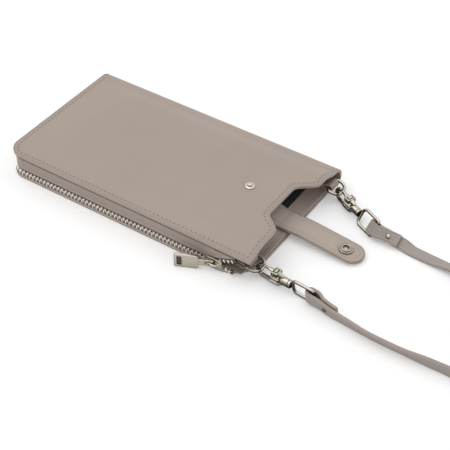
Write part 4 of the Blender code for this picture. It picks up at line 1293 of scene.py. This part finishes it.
def tab_mesh(place, along, across, open_end):
    """A leather strip with rounded edges all round but at its open end, where the next strip goes on."""
    bm = bmesh.new()
    bm.from_mesh(shaped(grid(place, along, across), [wall(tab_leather)]))
    edges = [edge for edge in bm.edges if edge.is_manifold and edge.calc_face_angle(0.0) > math.radians(40)
             and any(abs(vertex.co.x - open_end) > seam for vertex in edge.verts)]
    bevel(bm, edges, edge_rounding, 3)
    return shaped(bm, [], 40)


def add_tab(name, mesh, replaced):
    """A strip of the tab, on no body, with its place baked into its mesh, hiding the solids that it replaces.
    """
    item = add_piece(name, mesh, ["tab", "edge"], None, replaced)
    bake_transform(item)


def closing_tab():
    """Two strips that meet in the riser's middle, each bending at its own fold."""
    middle = tab_fold_place + riser_length / 2
    half = tab_width / 2
    across_shares = [-1.0, -0.98, -0.9, -0.5, 0.0, 0.5, 0.9, 0.98, 1.0]
    round_start = flap_reach + tab_tip_margin - half
    flap_place = flap_frame()

    def lower(x, share):
        eased = smooth((x - tab_fold_place) / seam + 1.0)
        height = mix(divider_top(x) + seam * 2 + tab_leather, tab_fold_height, eased)
        return Vector((x, half * share, height - tab_leather / 2))

    def upper(run, share):
        past = max(0.0, run - round_start)
        y = math.sqrt(max(0.0, half**2 - past**2)) * share
        flat_point = Vector((flap_fold_place + run, y, tab_fold_height - tab_leather / 2))
        turned_point = flap_place @ Vector((run, y, -tab_leather / 2))
        return flat_point.lerp(turned_point, smooth((run + fold_reach) / (fold_reach * 2)))

    def near_tip(point):
        return max(0.0, half - math.hypot(max(0.0, point.x - flap_fold_place - round_start), point.y))

    bend = even(-fold_reach, fold_reach, 16)
    start = tab_fold_place - tab_root_length
    along = even(start, tab_fold_place - fold_reach, 8) + [tab_fold_place + place for place in bend[1:]]
    along += even(tab_fold_place + fold_reach, middle, 8)[1:]
    mesh = mark_rim(tab_mesh(lower, along, across_shares, middle), lambda point: half - abs(point.y))
    add_tab("tab_lower", mesh, ["tab_root"])
    along = even(middle - flap_fold_place, -fold_reach, 8) + bend[1:] + even(fold_reach, round_start, 14)[1:]
    along += [round_start + half * math.sin(math.pi / 2 * share) for share in even(0.0, 0.985, 18)[1:]]
    mesh = mark_rim(tab_mesh(upper, along, across_shares, middle), near_tip)
    add_tab("tab_upper", mesh, ["tab_riser", "tab_flap"])


# Keepers, rings, hooks and swivels


def keeper(side_name, side):
    """A leather strip that lies on the divider, loops round the ring's bar and comes back."""
    bar = ring_bar_places[side]
    loop = ring_wire_radius + seam + keeper_leather / 2
    start = bar - keeper_length
    steps = [mix(start, bar - loop, share) for share in even(0.0, 0.85, 10)]
    under = [(x, max(divider_top(x) + seam * 2, leather + seam) + keeper_leather / 2) for x in steps]
    around = arc((bar, ring_bar_height), loop, -110, 110, 24)
    over = [(x, z + keeper_leather + seam * 1.5) for x, z in reversed(under)]
    over[0] = (over[0][0], mix(over[0][1], around[-1][1], 0.5))
    route = under + around + over

    def place(point, share):
        return Vector((point[0], side * keeper_place + keeper_width * share, point[1]))

    def near_edge(point, share):
        return keeper_width * (0.5 - abs(share))

    across_shares = [-0.5, -0.42, -0.3, 0.0, 0.3, 0.42, 0.5]
    mesh = sheet_mesh(place, route, across_shares, keeper_leather, edge_rounding * 0.7, near_edge)
    add_leather(side_name + "_keeper_leather", mesh, side_name + "_keeper", "edge")


def ring(side_name, side):
    place = Matrix.Translation((ring_bar_places[side], side * keeper_place, ring_bar_height))
    place = place @ Matrix.Rotation(ring_drop, 4, "Y")
    points = spline([Vector((x, y, 0.0)) for x, y in ring_points()], ring_wire_radius / 2)
    mesh = wire_mesh([place @ point for point in points], ring_wire_radius)
    add_metal(side_name + "_ring", mesh, side_name + "_ring", ending="_wire")


def swivel(side_name, side):
    """The turned pin through the hook's barrel, the flat eye that it carries and the gate's pin."""
    hook = hooks[side]
    head = hook_shoulder_end - hook_wire_radius - seam - swivel_head_length
    collar = hook_shoulder_end + barrel_length + seam
    collar_end = eye_start - eye_wire_radius - seam
    neck = head + swivel_head_length
    profile = [(0.0, collar_end), (barrel_radius * 0.85, collar_end)]
    profile += [(barrel_radius, mix(collar, collar_end, 0.75)), (barrel_radius, collar)]
    profile += [(swivel_radius, collar), (swivel_radius, neck), (swivel_head_radius, neck)]
    profile += [(swivel_head_radius * 0.8, head), (0.0, head)]
    pin_place = hook @ Matrix.Rotation(math.radians(90), 4, "Y")
    add_metal(side_name + "_swivel_pin", turned_mesh(profile, pin_place))
    bar_end = (hook_length - eye_bar_corner_radius, eye_bar_corner_radius)
    pin_end = (eye_start + eye_corner_radius, eye_corner_radius)
    corners = ((bar_end, 1, 0), (pin_end, 1, 90), (pin_end, -1, 180), (bar_end, -1, 270))
    points = []
    for (x, radius), sign, first in corners:
        points += arc((x, sign * (eye_half_width - radius)), radius, first, first + 90, 8)
    turned_place = hook @ Matrix.Rotation(math.radians(eye_rolls[side]), 4, "X")
    mesh = wire_mesh([turned_place @ Vector((x, 0.0, y)) for x, y in points], eye_wire_radius)
    add_metal(side_name + "_swivel_eye", mesh, ending="_wire")
    half_pin = gate_pin_length / 2
    profile = [(0.0, half_pin), (gate_pin_radius, half_pin), (gate_pin_radius, -half_pin), (0.0, -half_pin)]
    place = hook @ Matrix.Translation((gate_pin_place, hook_half_width, 0.0))
    mesh = fuller(turned_mesh(profile, place, 32, metal_rounding), hook)
    add_metal(side_name + "_gate_pin", mesh, side_name + "_hook")


outer_wrap()
panel_stitches()
back_stitches()
gusset()
divider()
tapes()
teeth("zip_teeth_upper", True)
teeth("zip_teeth_lower", False)
castings()
pull_inset()
stud()
snap()
closing_tab()
for side_name, side in sides:
    keeper(side_name, side)
    ring(side_name, side)
    swivel(side_name, side)

kept = {"front_lining": "lining", "back_lining": "lining", "card_pocket": "tab", "stud_base": "nickel"}
for node, finish_name in kept.items():
    for material_slot in nodes[node].material_slots:
        material_slot.material = finishes[finish_name]


# Floor, light and background


def make_floor():
    bm = bmesh.new()
    bmesh.ops.create_grid(bm, x_segments=1, y_segments=1, size=floor_size / 2)
    floor = linked("floor", mesh_of(bm, "floor"))
    paint = Finish("pale_floor", floor_colour)
    paint.feed("Base Color", (*floor_colour, 1.0))
    paint.feed("Roughness", floor_roughness)
    seen = paint.node("ShaderNodeLightPath", out="Is Camera Ray")
    paint.feed("Emission Color", white)
    paint.feed("Emission Strength", seen * floor_lift)
    floor.data.materials.append(paint.material)


def make_light(name, place, size, power):
    data = bpy.data.lights.new(name, "AREA")
    data.size = size
    data.energy = power
    light = linked(name, data)
    light.location = place
    light.rotation_euler = (-place).to_track_quat("-Z", "Y").to_euler()


def make_world():
    """Even studio light, with white where the camera and reflections look past the floor."""
    world = bpy.data.worlds.new("studio")
    bpy.context.scene.world = world
    paint = Paint(world, "Background")
    seen = paint.node("ShaderNodeLightPath", out="Is Camera Ray")
    for kind in ("Is Glossy Ray", "Is Transmission Ray"):
        seen = seen.math("MAXIMUM", paint.node("ShaderNodeLightPath", out=kind))
    paint.feed("Color", white)
    levels = {"Value": seen, "To Min": studio_level, "To Max": 1.0}
    paint.feed("Strength", paint.node("ShaderNodeMapRange", None, levels, "Result"))


make_floor()
make_light("key", key_place, key_size, key_power)
make_light("fill", fill_place, key_size, fill_power)
make_world()
bpy.context.scene.view_settings.view_transform = "Standard"
